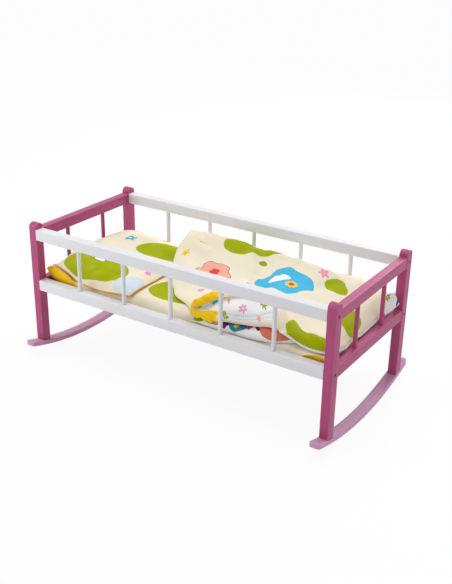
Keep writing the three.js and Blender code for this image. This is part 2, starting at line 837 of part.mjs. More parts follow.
function quilt() {
  const place = (u, v) => {
    const y = v * (bedHalfWidth - quiltDrawIn * (1 - u * u));
    const left = quiltLeftEdge(v);
    const right = bedHalfLength - quiltDrawIn * (1 - v * v);
    return [left + ((u + 1) / 2) * (right - left), y];
  };
  const seamAt = (v, x, y) => {
    const floor = quiltFloor(x, y);
    const fromFront = ramp(v, -1, quiltFrontSeamEndShare);
    const share = THREE.MathUtils.lerp(quiltFrontSeamShare, quiltSeamShare, fromFront);
    return floor + share * Math.max(quiltCrest(x, y) - floor, quiltThinnest);
  };
  const topAt = (u, v, x, y) => {
    const seam = seamAt(v, x, y);
    const crest = Math.max(quiltCrest(x, y), quiltFloor(x, y) + quiltThinnest);
    return seam + (crest - seam) * fullness(u, v, quiltSquareness);
  };
  const underAt = (u, v, x, y) => {
    const seam = seamAt(v, x, y);
    return seam - (seam - quiltFloor(x, y)) * fullness(u, v, quiltSquareness);
  };
  return stuffed(quiltColumns, quiltRows, place, topAt, underAt, quiltMouth);
}

bedding.add(piece("quilt", quilt(), finishes.cotton(), 0, 0, 0));

export default cradle;
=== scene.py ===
"""A wooden doll cradle on bent rockers with its printed bedding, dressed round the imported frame.

Blender's unit is the metre. Forms of cloth are worked out in millimetres and made in metres.
"""

import json
import math

import bpy
import numpy as np
from mathutils import Matrix, Vector
from mathutils.bvhtree import BVHTree


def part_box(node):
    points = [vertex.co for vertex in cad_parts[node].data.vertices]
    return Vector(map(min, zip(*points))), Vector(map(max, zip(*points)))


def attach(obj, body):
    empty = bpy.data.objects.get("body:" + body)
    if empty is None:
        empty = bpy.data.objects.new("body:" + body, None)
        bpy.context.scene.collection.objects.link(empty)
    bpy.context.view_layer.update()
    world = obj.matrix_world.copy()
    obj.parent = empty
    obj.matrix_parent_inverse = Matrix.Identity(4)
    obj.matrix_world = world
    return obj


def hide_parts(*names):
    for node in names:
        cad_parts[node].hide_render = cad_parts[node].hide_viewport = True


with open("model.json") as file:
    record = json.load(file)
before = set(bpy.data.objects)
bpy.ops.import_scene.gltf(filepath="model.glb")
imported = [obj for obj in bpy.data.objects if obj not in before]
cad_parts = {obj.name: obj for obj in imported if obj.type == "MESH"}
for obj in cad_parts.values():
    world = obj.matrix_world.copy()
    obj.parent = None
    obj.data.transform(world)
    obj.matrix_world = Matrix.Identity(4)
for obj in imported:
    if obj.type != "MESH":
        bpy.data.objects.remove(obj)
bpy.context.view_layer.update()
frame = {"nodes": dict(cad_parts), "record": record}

MM = 0.001
PICTURE_HEIGHT = 584


def add_object(name, data):
    """Puts new data into the scene as an object at the origin."""
    made = bpy.data.objects.new(name, data)
    bpy.context.scene.collection.objects.link(made)
    return made


# Camera, at the photograph's viewing angle

CAMERA_PLACE = (0.65565, -0.9860, 0.64652)
CAMERA_YAW = 32.82
CAMERA_PITCH = -23.92
CAMERA_ROLL = 1.0
CAMERA_FOCAL_PIXELS = 892.51
CAMERA_REACH = 20.0
SENSOR_HEIGHT = 36.0


def make_camera():
    """The camera, from its place, three turns in degrees and a focal length in pixels."""
    yaw, pitch, roll = (math.radians(turn) for turn in (CAMERA_YAW, CAMERA_PITCH, CAMERA_ROLL))
    forward = Vector((-math.sin(yaw) * math.cos(pitch), math.cos(yaw) * math.cos(pitch), math.sin(pitch)))
    level = Vector((math.cos(yaw), math.sin(yaw), 0.0))
    upright = level.cross(forward)
    right = level * math.cos(roll) + upright * math.sin(roll)
    up = upright * math.cos(roll) - level * math.sin(roll)
    data = bpy.data.cameras.new("camera")
    data.sensor_fit = "VERTICAL"
    data.sensor_height = SENSOR_HEIGHT
    data.lens = CAMERA_FOCAL_PIXELS / PICTURE_HEIGHT * SENSOR_HEIGHT
    data.clip_end = CAMERA_REACH
    camera = add_object("camera", data)
    turn = Matrix((right, up, -forward)).transposed().to_4x4()
    camera.matrix_world = Matrix.Translation(CAMERA_PLACE) @ turn
    bpy.context.scene.camera = camera


make_camera()


# Colours, written as they show on a screen, from 0 to 255

def colour(red, green, blue):
    def linear(value):
        share = value / 255
        return share / 12.92 if share <= 0.04045 else ((share + 0.055) / 1.055) ** 2.4

    return (linear(red), linear(green), linear(blue), 1.0)


PINK = colour(182, 79, 125)
LILAC = colour(211, 158, 192)
WHITE = colour(232, 232, 236)
HARDBOARD = colour(133, 94, 60)
BEECH = colour(212, 180, 138)
STEEL = colour(120, 118, 122)
CREAM = colour(246, 237, 213)
MILK = colour(248, 248, 247)
LIME = colour(166, 178, 0)
SKY = colour(76, 190, 232)
TEAL = colour(28, 140, 170)
CORAL = colour(250, 178, 158)
RED = colour(230, 72, 66)
ROSE = colour(246, 150, 205)
YOLK = colour(255, 211, 38)
# Orange for painted shade in the creases of yellow cloth
CREASE_SHADE_ORANGE = colour(236, 142, 20)
AMBER = colour(246, 172, 60)
LEAF = colour(140, 170, 20)
INK = colour(74, 50, 44)
NAVY = colour(40, 66, 150)
SLATE = colour(140, 148, 186)
PLUM = colour(120, 40, 92)
MAGENTA = colour(214, 70, 150)
BRICK = colour(226, 120, 96)
MIST = colour(216, 229, 240)
PALE_PINK = colour(226, 150, 186)
PALE_LILAC = colour(222, 178, 212)
CHALK = colour(250, 250, 250)
FLOOR_WHITE = colour(244, 244, 245)


class Wiring:
    """Adds nodes to a tree; an input is given a socket to follow or a plain value."""

    def __init__(self, tree):
        self.tree = tree

    def node(self, kind, inputs=None, **settings):
        made = self.tree.nodes.new(kind)
        for name, value in settings.items():
            setattr(made, name, value)
        self.feed(made, inputs or {})
        return made

    def feed(self, made, inputs):
        for key, value in inputs.items():
            socket = made.inputs[key]
            if isinstance(value, bpy.types.NodeSocket):
                self.tree.links.new(value, socket)
            else:
                socket.default_value = value

    def group(self, tree, inputs):
        return self.node("ShaderNodeGroup", inputs, node_tree=tree).outputs

    def sum(self, operation, first, second=0.0, third=0.0):
        values = {0: first, 1: second, 2: third}
        return self.node("ShaderNodeMath", values, operation=operation).outputs[0]

    def vector(self, operation, inputs, result=0):
        return self.node("ShaderNodeVectorMath", inputs, operation=operation).outputs[result]

    def blend(self, share, under, over):
        return self.node("ShaderNodeMix", {0: share, 6: under, 7: over}, data_type="RGBA").outputs[2]

    def lay_over(self, base, share, most, tint):
        """The base with a tint over it, where the share says and as strong as the most."""
        return self.blend(self.sum("MULTIPLY", share, most), base, tint)

    def noise(self, place, scale, detail=2.0, roughness=0.5, twist=0.0):
        inputs = {"Vector": place, "Scale": scale, "Detail": detail}
        inputs.update({"Roughness": roughness, "Distortion": twist})
        return self.node("ShaderNodeTexNoise", inputs).outputs["Fac"]

    def span(self, value, low, high, out_low=0.0, out_high=1.0):
        inputs = {"Value": value, "From Min": low, "From Max": high, "To Min": out_low, "To Max": out_high}
        return self.node("ShaderNodeMapRange", inputs, interpolation_type="SMOOTHSTEP").outputs[0]

    def bump(self, height, strength, depth):
        """Small relief, its depth in millimetres, for a Normal input."""
        inputs = {"Strength": strength, "Distance": depth * MM, "Height": height}
        return self.node("ShaderNodeBump", inputs).outputs[0]

    def object_place(self):
        return self.node("ShaderNodeTexCoord").outputs["Object"]


FLOAT = "NodeSocketFloat"
VECTOR = "NodeSocketVector"
WHOLE = "NodeSocketInt"
GEOMETRY = "NodeSocketGeometry"
MATERIAL = "NodeSocketMaterial"


def node_group(name, kind, inputs, outputs):
    """A node group with its two ends; inputs are rows of name, socket type and default."""
    tree = bpy.data.node_groups.new(name, kind)
    for label, socket_type, default in inputs:
        socket = tree.interface.new_socket(label, in_out="INPUT", socket_type=socket_type)
        if default is not None:
            socket.default_value = default
    for label, socket_type in outputs:
        tree.interface.new_socket(label, in_out="OUTPUT", socket_type=socket_type)
    given = tree.nodes.new("NodeGroupInput").outputs
    leave = tree.nodes.new("NodeGroupOutput")
    return tree, Wiring(tree), given, leave


def shader_group(name, inputs, outputs):
    return node_group(name, "ShaderNodeTree", inputs, outputs)


def geometry_group(name, inputs):
    """A group that takes a geometry and the named inputs, and gives out one geometry."""
    inputs = [("Geometry", GEOMETRY, None)] + inputs
    return node_group(name, "GeometryNodeTree", inputs, [("Geometry", GEOMETRY)])


def grain_group():
    """Streaks and open pores of wood, for a place already drawn out along the grain."""
    tree, w, given, leave = shader_group(
        "wood_grain",
        [("Place", VECTOR, None), ("Pore Share", FLOAT, 0.4)],
        [("Streaks", FLOAT), ("Pores", FLOAT)],
    )
    broad = w.noise(given["Place"], 1.0, detail=5.0, roughness=0.62, twist=0.6)
    fine = w.noise(given["Place"], 4.5, detail=3.0, roughness=0.6)
    mixed = w.sum("MULTIPLY_ADD", fine, 0.35, w.sum("MULTIPLY", broad, 0.75))
    specks = w.noise(given["Place"], 9.0, roughness=0.7)
    start = w.sum("SUBTRACT", 0.7, w.sum("MULTIPLY", given["Pore Share"], 0.3))
    pores = w.span(specks, start, w.sum("ADD", start, 0.12))
    w.feed(leave, {"Streaks": w.span(mixed, 0.3, 0.78), "Pores": pores})
    return tree


def edge_group():
    """How near a place is to an outer edge, broken up by noise, where paint is paler as painted highlight
    and as wear.
    """
    tree, w, given, leave = shader_group(
        "edge_wear_and_highlight",
        [("Place", VECTOR, None), ("Width", FLOAT, 0.9 * MM)],
        [("Edge", FLOAT)],
    )
    rounded = w.node("ShaderNodeBevel", {"Radius": given["Width"]}, samples=6).outputs[0]
    flat = w.node("ShaderNodeNewGeometry").outputs["True Normal"]
    facing = w.vector("DOT_PRODUCT", {0: rounded, 1: flat}, "Value")
    near = w.span(facing, 0.995, 0.86)
    wear_and_highlight_noise = w.noise(given["Place"], 90.0, detail=3.0, roughness=0.6)
    broken = w.span(wear_and_highlight_noise, 0.3, 0.62, 0.35, 1.0)
    w.feed(leave, {"Edge": w.sum("MULTIPLY", near, broken)})
    return tree


def weave_group():
    """Plain weave: threads over and under one another, with uneven yarn."""
    tree, w, given, leave = shader_group(
        "plain_weave",
        [("Place", VECTOR, None), ("Threads", FLOAT, 1900.0)],
        [("Height", FLOAT), ("Slub", FLOAT)],
    )
    counted = w.vector("SCALE", {0: given["Place"], "Scale": given["Threads"]})
    parts = w.node("ShaderNodeSeparateXYZ", {0: counted}).outputs
    along, across = (w.sum("SINE", w.sum("MULTIPLY", parts[k], math.pi)) for k in (0, 1))
    slub = w.noise(given["Place"], 260.0, detail=3.0, roughness=0.6)
    height = w.sum("MULTIPLY_ADD", w.sum("MULTIPLY", along, across), 0.5, slub)
    w.feed(leave, {"Height": height, "Slub": slub})
    return tree


PRINT_BLUR = 0.1


def motif_group():
    """A printed motif: a round, lobed or petalled spot and the drawn line round it."""
    tree, w, given, leave = shader_group(
        "printed_motif",
        [
            ("Place", VECTOR, None),
            ("Centre", VECTOR, None),
            ("Radius", FLOAT, 20.0 * MM),
            ("Stretch", FLOAT, 1.0),
            ("Turn", FLOAT, 0.0),
            ("Lobes", FLOAT, 3.0),
            ("Depth", FLOAT, 0.1),
            ("Line", FLOAT, 0.4 * MM),
        ],
        [("Inside", FLOAT), ("Outline", FLOAT)],
    )
    moved = w.vector("SUBTRACT", {0: given["Place"], 1: given["Centre"]})
    inputs = {"Vector": moved, "Angle": given["Turn"]}
    turned = w.node("ShaderNodeVectorRotate", inputs, rotation_type="Z_AXIS").outputs[0]
    parts = w.node("ShaderNodeSeparateXYZ", {0: turned}).outputs
    x = w.sum("DIVIDE", parts[0], given["Stretch"])
    y = parts[1]
    length = w.sum("SQRT", w.sum("MULTIPLY_ADD", x, x, w.sum("MULTIPLY", y, y)))
    angle = w.sum("ARCTAN2", y, x)
    wave = w.sum("COSINE", w.sum("MULTIPLY", angle, given["Lobes"]))
    reach = w.sum("MULTIPLY", given["Radius"], w.sum("MULTIPLY_ADD", wave, given["Depth"], 1.0))
    distance = w.sum("SUBTRACT", length, reach)
    off_line = w.sum("SUBTRACT", w.sum("ABSOLUTE", distance), given["Line"])
    blur = PRINT_BLUR * MM
    w.feed(leave, {"Inside": w.span(distance, blur, -blur), "Outline": w.span(off_line, blur, -blur)})
    return tree


GRAIN = grain_group()
EDGE = edge_group()
WEAVE = weave_group()
MOTIF = motif_group()


# Finishes

THREADS_PER_METRE = 1900.0
PRINT_LINE = 0.45
PRINT_SHAKE = 3.0
GRAIN_ALONG = {
    "x": (14.0, 260.0, 260.0),
    "y": (260.0, 14.0, 260.0),
    "z": (260.0, 260.0, 14.0),
}
PAINT_GLOSS = {"Coat Weight": 0.03, "Coat Roughness": 0.4, "Specular IOR Level": 0.22}
COTTON_GLOSS = {"Sheen Weight": 0.02, "Sheen Roughness": 0.5, "Specular IOR Level": 0.06}
CORD_GLOSS = {"Sheen Weight": 0.1, "Specular IOR Level": 0.25}


def new_material(name):
    material = bpy.data.materials.new(name)
    material.use_nodes = True
    material.node_tree.nodes.clear()
    return material, Wiring(material.node_tree)


def close_material(material, w, base, roughness, normal, gloss=None):
    """Feeds the shader what changes over the surface, and sets on it what stays the same."""
    inputs = {"Base Color": base, "Roughness": roughness, "Normal": normal, **(gloss or {})}
    surface = w.node("ShaderNodeBsdfPrincipled", inputs).outputs[0]
    w.node("ShaderNodeOutputMaterial", {"Surface": surface})
    return material


def scaled(tint, factor):
    return (tint[0] * factor, tint[1] * factor, tint[2] * factor, 1.0)


def grain_along(w, place, along, pore_share):
    """The wood's grain, drawn out along one axis of the cradle."""
    drawn = w.node("ShaderNodeMapping", {"Vector": place, "Scale": GRAIN_ALONG[along]}).outputs[0]
    return w.group(GRAIN, {"Place": drawn, "Pore Share": pore_share})


def painted_wood(name, tint, along, show_grain, wear_and_highlight):
    """Thin satin paint: the grain shows through it, and it is paler along the edges, partly rubbed thin
    and partly a painted highlight.
    """
    material, w = new_material(name)
    place = w.object_place()
    grain = grain_along(w, place, along, 0.5)
    edge = w.group(EDGE, {"Place": place, "Width": 0.9 * MM})
    cloudy = w.span(w.noise(place, 22.0, detail=3.0, roughness=0.55), 0.3, 0.7)
    base = w.blend(grain["Streaks"], scaled(tint, 1 - show_grain), scaled(tint, 1 + 0.45 * show_grain))
    base = w.lay_over(base, cloudy, 0.35, scaled(tint, 1.04))
    base = w.lay_over(base, grain["Pores"], 0.8 * show_grain, scaled(tint, 0.6))
    # Paler along the edges: a painted highlight, and paint rubbed thin
    base = w.lay_over(base, edge["Edge"], 0.55, wear_and_highlight)
    roughness = w.span(grain["Streaks"], 0.0, 1.0, 0.5, 0.4)
    height = w.sum("MULTIPLY_ADD", grain["Pores"], -0.6, grain["Streaks"])
    normal = w.bump(height, strength=0.35, depth=0.1)
    return close_material(material, w, base, roughness, normal, PAINT_GLOSS)


def bare_wood(name, tint, along):
    """Planed wood without a finish, for the pins inside the joints."""
    material, w = new_material(name)
    grain = grain_along(w, w.object_place(), along, 0.8)
    base = w.blend(grain["Streaks"], scaled(tint, 0.72), scaled(tint, 1.08))
    base = w.lay_over(base, grain["Pores"], 0.5, scaled(tint, 0.4))
    roughness = w.span(grain["Streaks"], 0.0, 1.0, 0.75, 0.6)
    normal = w.bump(grain["Streaks"], strength=0.5, depth=0.12)
    return close_material(material, w, base, roughness, normal)


def pressed_board(name, tint):
    """Hardboard: felted fibres, a little darker in clouds."""
    material, w = new_material(name)
    place = w.object_place()
    fibres = w.noise(place, 900.0, detail=4.0, roughness=0.7, twist=1.5)
    base = w.blend(w.span(fibres, 0.3, 0.7), scaled(tint, 0.7), scaled(tint, 1.2))
    base = w.lay_over(base, w.noise(place, 30.0), 0.4, scaled(tint, 0.85))
    roughness = w.span(fibres, 0.3, 0.7, 0.55, 0.75)
    return close_material(material, w, base, roughness, w.bump(fibres, strength=0.3, depth=0.1))


def screw_metal(name, tint):
    """Dull steel with fine turning marks and dark stains."""
    material, w = new_material(name)
    place = w.object_place()
    turned = w.noise(place, 2600.0, roughness=0.6)
    stain = w.noise(place, 420.0, detail=3.0)
    base = w.blend(w.span(stain, 0.35, 0.7), tint, scaled(tint, 0.5))
    roughness = w.span(turned, 0.3, 0.7, 0.32, 0.5)
    normal = w.bump(turned, strength=0.25, depth=0.05)
    return close_material(material, w, base, roughness, normal, {"Metallic": 1.0})


def print_place(w, cloth, cell):
    """Where the print is drawn: shaken, so that its edges look drawn by hand, and wrapped into
    one cell of the pattern where a cell's size is given."""
    shaken = w.node("ShaderNodeTexNoise", {"Vector": cloth, "Scale": 70.0, "Detail": 1.0})
    shake = w.vector("SUBTRACT", {0: shaken.outputs["Color"], 1: (0.5, 0.5, 0.5)})
    place = w.vector("MULTIPLY_ADD", {0: shake, 1: (PRINT_SHAKE * MM,) * 3, 2: cloth})
    if cell:
        place = w.vector("WRAP", {0: place, 1: (cell[0] * MM, cell[1] * MM, 1.0), 2: (0.0,) * 3})
    return place


def cotton(name, ground, motifs=(), cell=None, crease_shade=None):
    """Printed cotton; each motif is centre x and y in millimetres, radius, stretch, turn, lobes,
    depth, colour and whether a dark line runs round it. A cell's size makes the motifs repeat,
    and a crease shade colour paints shade in noise streaks, standing for creases where the cloth is drawn
    together."""
    material, w = new_material(name)
    cloth = w.node("ShaderNodeAttribute", attribute_name="cloth").outputs["Vector"]
    weave = w.group(WEAVE, {"Place": cloth, "Threads": THREADS_PER_METRE})
    base = w.lay_over(ground, weave["Slub"], 0.4, scaled(ground, 0.95))
    place = print_place(w, cloth, cell)
    for x, y, radius, stretch, turn, lobes, depth, tint, lined in motifs:
        values = {"Place": place, "Centre": (x * MM, y * MM, 0.0), "Radius": radius * MM}
        values.update({"Stretch": stretch, "Turn": math.radians(turn), "Lobes": lobes})
        values.update({"Depth": depth, "Line": PRINT_LINE * MM})
        motif = w.group(MOTIF, values)
        base = w.blend(motif["Inside"], base, tint)
        if lined:
            base = w.lay_over(base, motif["Outline"], 0.9, INK)
    if crease_shade:
        # Painted shade: orange streaks from noise stand for the shade in creases of the cloth
        painted_crease_shade = w.noise(cloth, 150.0, detail=3.0, roughness=0.6, twist=1.2)
        base = w.blend(w.span(painted_crease_shade, 0.54, 0.68, 0.0, 0.45), base, crease_shade)
    faded = w.span(w.noise(cloth, 35.0, detail=3.0), 0.3, 0.75, 0.0, 0.03)
    base = w.blend(faded, base, ground)
    roughness = w.span(weave["Slub"], 0.2, 0.8, 0.82, 0.95)
    crumple = w.noise(cloth, 120.0, detail=3.0)
    height = w.sum("MULTIPLY_ADD", crumple, 6.0, w.sum("MULTIPLY", weave["Height"], 0.5))
    normal = w.bump(height, strength=0.5, depth=0.12)
    return close_material(material, w, base, roughness, normal, COTTON_GLOSS)


def corded(name, tint):
    """Cotton drawn over piping cord or spun to thread."""
    material, w = new_material(name)
    yarn = w.noise(w.object_place(), 1400.0, detail=3.0, roughness=0.6)
    base = w.blend(w.span(yarn, 0.3, 0.7), scaled(tint, 0.82), scaled(tint, 1.05))
    roughness = w.span(yarn, 0.3, 0.7, 0.95, 0.8)
    normal = w.bump(yarn, strength=0.5, depth=0.1)
    return close_material(material, w, base, roughness, normal, CORD_GLOSS)


# Paint of each slot: its colour, how much of the grain it shows, and its paler colour along the edges, for
# wear and a painted highlight

PAINTS = {
    "pink_paint": (PINK, 0.16, PALE_PINK),
    "rocker_paint": (LILAC, 0.09, PALE_LILAC),
    "white_paint": (WHITE, 0.05, CHALK),
}


def make_finish(name, slot, along):
    if slot in PAINTS:
        tint, show_grain, wear_and_highlight = PAINTS[slot]
        return painted_wood(name, tint, along, show_grain, wear_and_highlight)
    if slot == "beech":
        return bare_wood(name, BEECH, along)
    return pressed_board(name, HARDBOARD) if slot == "hardboard" else screw_metal(name, STEEL)


def frame_finish(node, slot):
    """The finish of a rigid node, with its grain along the piece's length."""
    upright = "post" in node or "spindle" in node
    crosswise = "end" in node or "rocker" in node or "pin" in node
    along = "z" if upright else "y" if crosswise else "x"
    key = slot + "_" + along
    if key not in finishes:
        finishes[key] = make_finish(key, slot, along)
    return finishes[key]


def eased_edges_group():
    """Joins a part's loose faces and shades all but its sharp edges as one smooth surface."""
    tree, w, given, leave = geometry_group(
        "eased_edges",
        [("Join Distance", FLOAT, 0.01 * MM), ("Sharp Angle", FLOAT, math.radians(50))],
    )
    inputs = {"Geometry": given["Geometry"], "Distance": given["Join Distance"]}
    joined = w.node("GeometryNodeMergeByDistance", inputs).outputs[0]
    smooth = w.node("GeometryNodeSetShadeSmooth", {0: joined, "Shade Smooth": True}).outputs[0]
    angle = w.node("GeometryNodeInputMeshEdgeAngle").outputs["Unsigned Angle"]
    inputs = {0: angle, 1: given["Sharp Angle"]}
    sharp = w.node("FunctionNodeCompare", inputs, data_type="FLOAT", operation="GREATER_THAN").outputs[0]
    inputs = {0: smooth, "Selection": sharp, "Shade Smooth": False}
    creased = w.node("GeometryNodeSetShadeSmooth", inputs, domain="EDGE").outputs[0]
    w.feed(leave, {"Geometry": creased})
    return tree


EASED_EDGES = eased_edges_group()


def ease(piece):
    """Shades a CAD node's mesh as eased wood, and leaves its shape as it is."""
    piece.modifiers.new("eased_edges", "NODES").node_group = EASED_EDGES
    weighted = piece.modifiers.new("flat_faces", "WEIGHTED_NORMAL")
    weighted.keep_sharp = True
    weighted.weight = 100


finishes = {}
BEDDING_NODES = ("mattress", "pillow", "quilt")


def dress_frame():
    for subpart in frame["record"]["subparts"]:
        node = subpart["node"]
        if node in BEDDING_NODES:
            continue
        piece = frame["nodes"][node]
        piece.data.materials.clear()
        piece.data.materials.append(frame_finish(node, subpart["material_slot"]))
        ease(piece)


dress_frame()


# Forms of cloth, in millimetres

def box_mm(node):
    low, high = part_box(node)
    return np.array(low) / MM, np.array(high) / MM


def ramp(value, start, stop):
    share = np.clip((np.asarray(value, float) - start) / (stop - start), 0.0, 1.0)
    return share * share * (3 - 2 * share)


def through(value, points, column=1):
    """A smooth line through points given as rows that begin with the place along it."""
    table = np.array(points, float)
    places, heights = table[:, 0], table[:, column]
    slopes = np.gradient(heights, places)
    value = np.clip(np.asarray(value, float), places[0], places[-1])
    i = np.clip(np.searchsorted(places, value, side="right") - 1, 0, len(places) - 2)
    step = places[i + 1] - places[i]
    t = (value - places[i]) / step
    rise = heights[i + 1] - heights[i]
    low, high = slopes[i] * step, slopes[i + 1] * step
    return heights[i] + t * low + t * t * (3 * rise - 2 * low - high) + t**3 * (low + high - 2 * rise)


def fold(x, y, start, stop, height, width):
    """A soft ridge, or with a negative height a valley, along a line on the plan."""
    start, stop = np.array(start, float), np.array(stop, float)
    way = stop - start
    share = ((x - start[0]) * way[0] + (y - start[1]) * way[1]) / (way @ way)
    inner = np.clip(share, 0.0, 1.0)
    away = np.hypot(x - start[0] - inner * way[0], y - start[1] - inner * way[1])
    return height * np.exp(-((away / width) ** 2))


def folded(height, x, y, folds):
    """The height with each fold's ridge or valley added."""
    for row in folds:
        height = height + fold(x, y, *row)
    return height


def fullness(u, v, along, across=None):
    """How full a pad is, from 0 at its seam to 1; the greater the powers, the steeper its sides."""
    across = along if across is None else across
    return np.sqrt(np.maximum(0.0, (1 - np.abs(u) ** along) * (1 - np.abs(v) ** across)))


def between(value, span):
    return (value > span[0]) & (value < span[1])


def spread(count):
    """Even steps from -1 to 1, drawn closer together towards both ends."""
    reach = 0.43 * math.pi
    return np.sin(np.linspace(-reach, reach, count + 1)) / math.sin(reach)


def grid(columns, rows):
    return np.meshgrid(spread(columns), spread(rows), indexing="ij")


class Pad:
    """Two layers of cloth that meet in a seam round the edge, as a pillow is sewn.

    Each layer is a table of places, columns by rows. The first material is the upper layer's,
    the second the lower's, and zones gives another for faces of the upper layer.
    """

    def __init__(self, name, above, below, materials, zones=0):
        self.columns, self.rows = above.shape[0] - 1, above.shape[1] - 1
        inside = np.zeros(above.shape[:2], bool)
        inside[1:-1, 1:-1] = True
        count = inside.size
        self.top = np.arange(count).reshape(inside.shape)
        self.under = self.top.copy()
        self.under[inside] = count + np.arange(inside.sum())
        self.is_under = np.repeat([False, True], [count, inside.sum()])
        places = np.concatenate([above.reshape(-1, 3), below[inside]])
        a, b, c, d = self.corners(self.top)
        above_faces = np.stack([a, b, c, d], -1)
        a, b, c, d = self.corners(self.under)
        below_faces = np.stack([a, d, c, b], -1)
        faces = np.concatenate([above_faces, below_faces])
        mesh = bpy.data.meshes.new(name)
        mesh.from_pydata((places * MM).tolist(), [], faces.tolist())
        for material in materials:
            mesh.materials.append(material)
        upper = np.broadcast_to(zones, (self.columns, self.rows)).ravel()
        index = np.concatenate([upper, np.ones_like(upper)]).astype(np.int32)
        mesh.polygons.foreach_set("material_index", index)
        mesh.polygons.foreach_set("use_smooth", np.ones(index.size, bool))
        self.object = add_object(name, mesh)
        self.lay_cloth(above, below, inside)

    def corners(self, layer):
        """The four points of each face between the layer's columns and rows."""
        low, high = layer[:, :-1], layer[:, 1:]
        return low[:-1].ravel(), low[1:].ravel(), high[1:].ravel(), high[:-1].ravel()

    def lay_cloth(self, above, below, inside):
        """Keeps each point's place on the flat cloth, for the print and the weave."""
        flat = []
        i, j = inside.shape[0] // 2, inside.shape[1] // 2
        for layer in (above, below):
            steps = np.linalg.norm(np.diff(layer, axis=0), axis=-1)
            along = np.concatenate([np.zeros((1, layer.shape[1])), np.cumsum(steps, 0)])
            steps = np.linalg.norm(np.diff(layer, axis=1), axis=-1)
            across = np.concatenate([np.zeros((layer.shape[0], 1)), np.cumsum(steps, 1)], 1)
            along += layer[i, j, 0] - along[i : i + 1]
            across += layer[i, j, 1] - across[:, j : j + 1]
            flat.append(np.stack([along, across, np.zeros_like(across)], -1))
        places = np.concatenate([flat[0].reshape(-1, 3), flat[1][inside]])
        attribute = self.object.data.attributes.new("cloth", "FLOAT_VECTOR", "POINT")
        attribute.data.foreach_set("vector", (places * MM).astype(np.float32).ravel())

    def places(self):
        return mesh_places(self.object.data)

    def set_places(self, places):
        self.object.data.vertices.foreach_set("co", (places * MM).astype(np.float32).ravel())
        self.object.data.update()

    def ring(self, inset=0):
        """The places of the points round the upper layer, some rows in from the seam."""
        low, right, back = inset, self.columns - inset, self.rows - inset
        index = [self.top[i, low] for i in range(low, right)]
        index += [self.top[right, j] for j in range(low, back)]
        index += [self.top[i, back] for i in range(right, low, -1)]
        index += [self.top[low, j] for j in range(back, low, -1)]
        return self.places()[index]


def mesh_places(mesh):
    places = np.empty(len(mesh.vertices) * 3, np.float32)
    mesh.vertices.foreach_get("co", places)
    return places.reshape(-1, 3) / MM


class Bed:
    """The pieces that a pad rests on, felt from above."""

    def __init__(self, pads):
        graph = bpy.context.evaluated_depsgraph_get()
        self.trees = [BVHTree.FromObject(pad.object, graph) for pad in pads]

    def height(self, x, y, least):
        """Height of the highest piece under each place, or the least height beside them all."""
        found = np.broadcast_to(least, x.shape).astype(float).ravel().copy()
        down = Vector((0.0, 0.0, -1.0))
        for k, (across, along) in enumerate(zip(x.ravel(), y.ravel())):
            start = Vector((across * MM, along * MM, 0.5))
            for tree in self.trees:
                hit = tree.ray_cast(start, down)[0]
                if hit is not None:
                    found[k] = max(found[k], hit.z / MM)
        return found.reshape(x.shape)


CLOTH_FRAMES = 20
CLOTH_SETTINGS = {
    "mass": 0.15,
    "tension_stiffness": 10.0,
    "compression_stiffness": 10.0,
    "shear_stiffness": 3.0,
    "bending_stiffness": 0.02,
    "use_pressure": True,
}


def swollen(pad, pressure, loose):
    """Where the cloth solver blows the sewn pad's points to; cloth a little loose puckers."""
    trial = add_object("trial", pad.object.data.copy())
    cloth = trial.modifiers.new("cloth", "CLOTH")
    for name, value in CLOTH_SETTINGS.items():
        setattr(cloth.settings, name, value)
    cloth.settings.effector_weights.gravity = 0.0
    cloth.settings.uniform_pressure_force = pressure
    cloth.settings.shrink_min = -loose
    cloth.collision_settings.use_collision = False
    cloth.point_cache.frame_start = 1
    cloth.point_cache.frame_end = CLOTH_FRAMES
    scene = bpy.context.scene
    for number in range(1, CLOTH_FRAMES + 1):
        scene.frame_set(number)
    graph = bpy.context.evaluated_depsgraph_get()
    places = mesh_places(trial.evaluated_get(graph).to_mesh())
    trial.evaluated_get(graph).to_mesh_clear()
    bpy.data.objects.remove(trial)
    scene.frame_set(1)
    return places


def pucker(pad, pressure, loose, most, keep):
    """Lets the solver swell the pad by no more than the most, keeps it in its place and rounds it."""
    before = pad.places()
    move = swollen(pad, pressure, loose) - before
    length = np.linalg.norm(move, axis=1, keepdims=True)
    move *= most * np.tanh(length / most) / np.maximum(length, 1e-9)
    pad.set_places(before + move)
    pad.set_places(keep(pad.places()))
    rounding = pad.object.modifiers.new("rounding", "SUBSURF")
    rounding.levels = 1
    rounding.render_levels = 1
    make_plain(pad.object)


def make_plain(piece):
    """Turns what the modifiers show into the piece's own mesh."""
    graph = bpy.context.evaluated_depsgraph_get()
    mesh = bpy.data.meshes.new_from_object(piece.evaluated_get(graph), depsgraph=graph)
    old = piece.data
    mesh.name = old.name
    piece.modifiers.clear()
    piece.data = mesh
    bpy.data.meshes.remove(old)


mattress_low, mattress_high = box_mm("mattress")
pillow_low, pillow_high = box_mm("pillow")
RAIL_TOP = box_mm("front_lower_rail")[1][2]
BED_HALF_LENGTH, BED_HALF_WIDTH, MATTRESS_TOP = mattress_high


def kept_above(bed, least, gap, right_end=BED_HALF_LENGTH):
    """Holds a pad's points above what it lies on, by a gap, and inside the cradle."""

    def keep(places):
        floor = bed.height(places[:, 0], places[:, 1], least) + gap
        places[:, 2] = np.maximum(places[:, 2], floor)
        places[:, 0] = np.clip(places[:, 0], -BED_HALF_LENGTH, right_end)
        places[:, 1] = np.clip(places[:, 1], -BED_HALF_WIDTH, BED_HALF_WIDTH)
        return places

    return keep


# Mattress: thin, with its seam rolled up at the two corners of the front

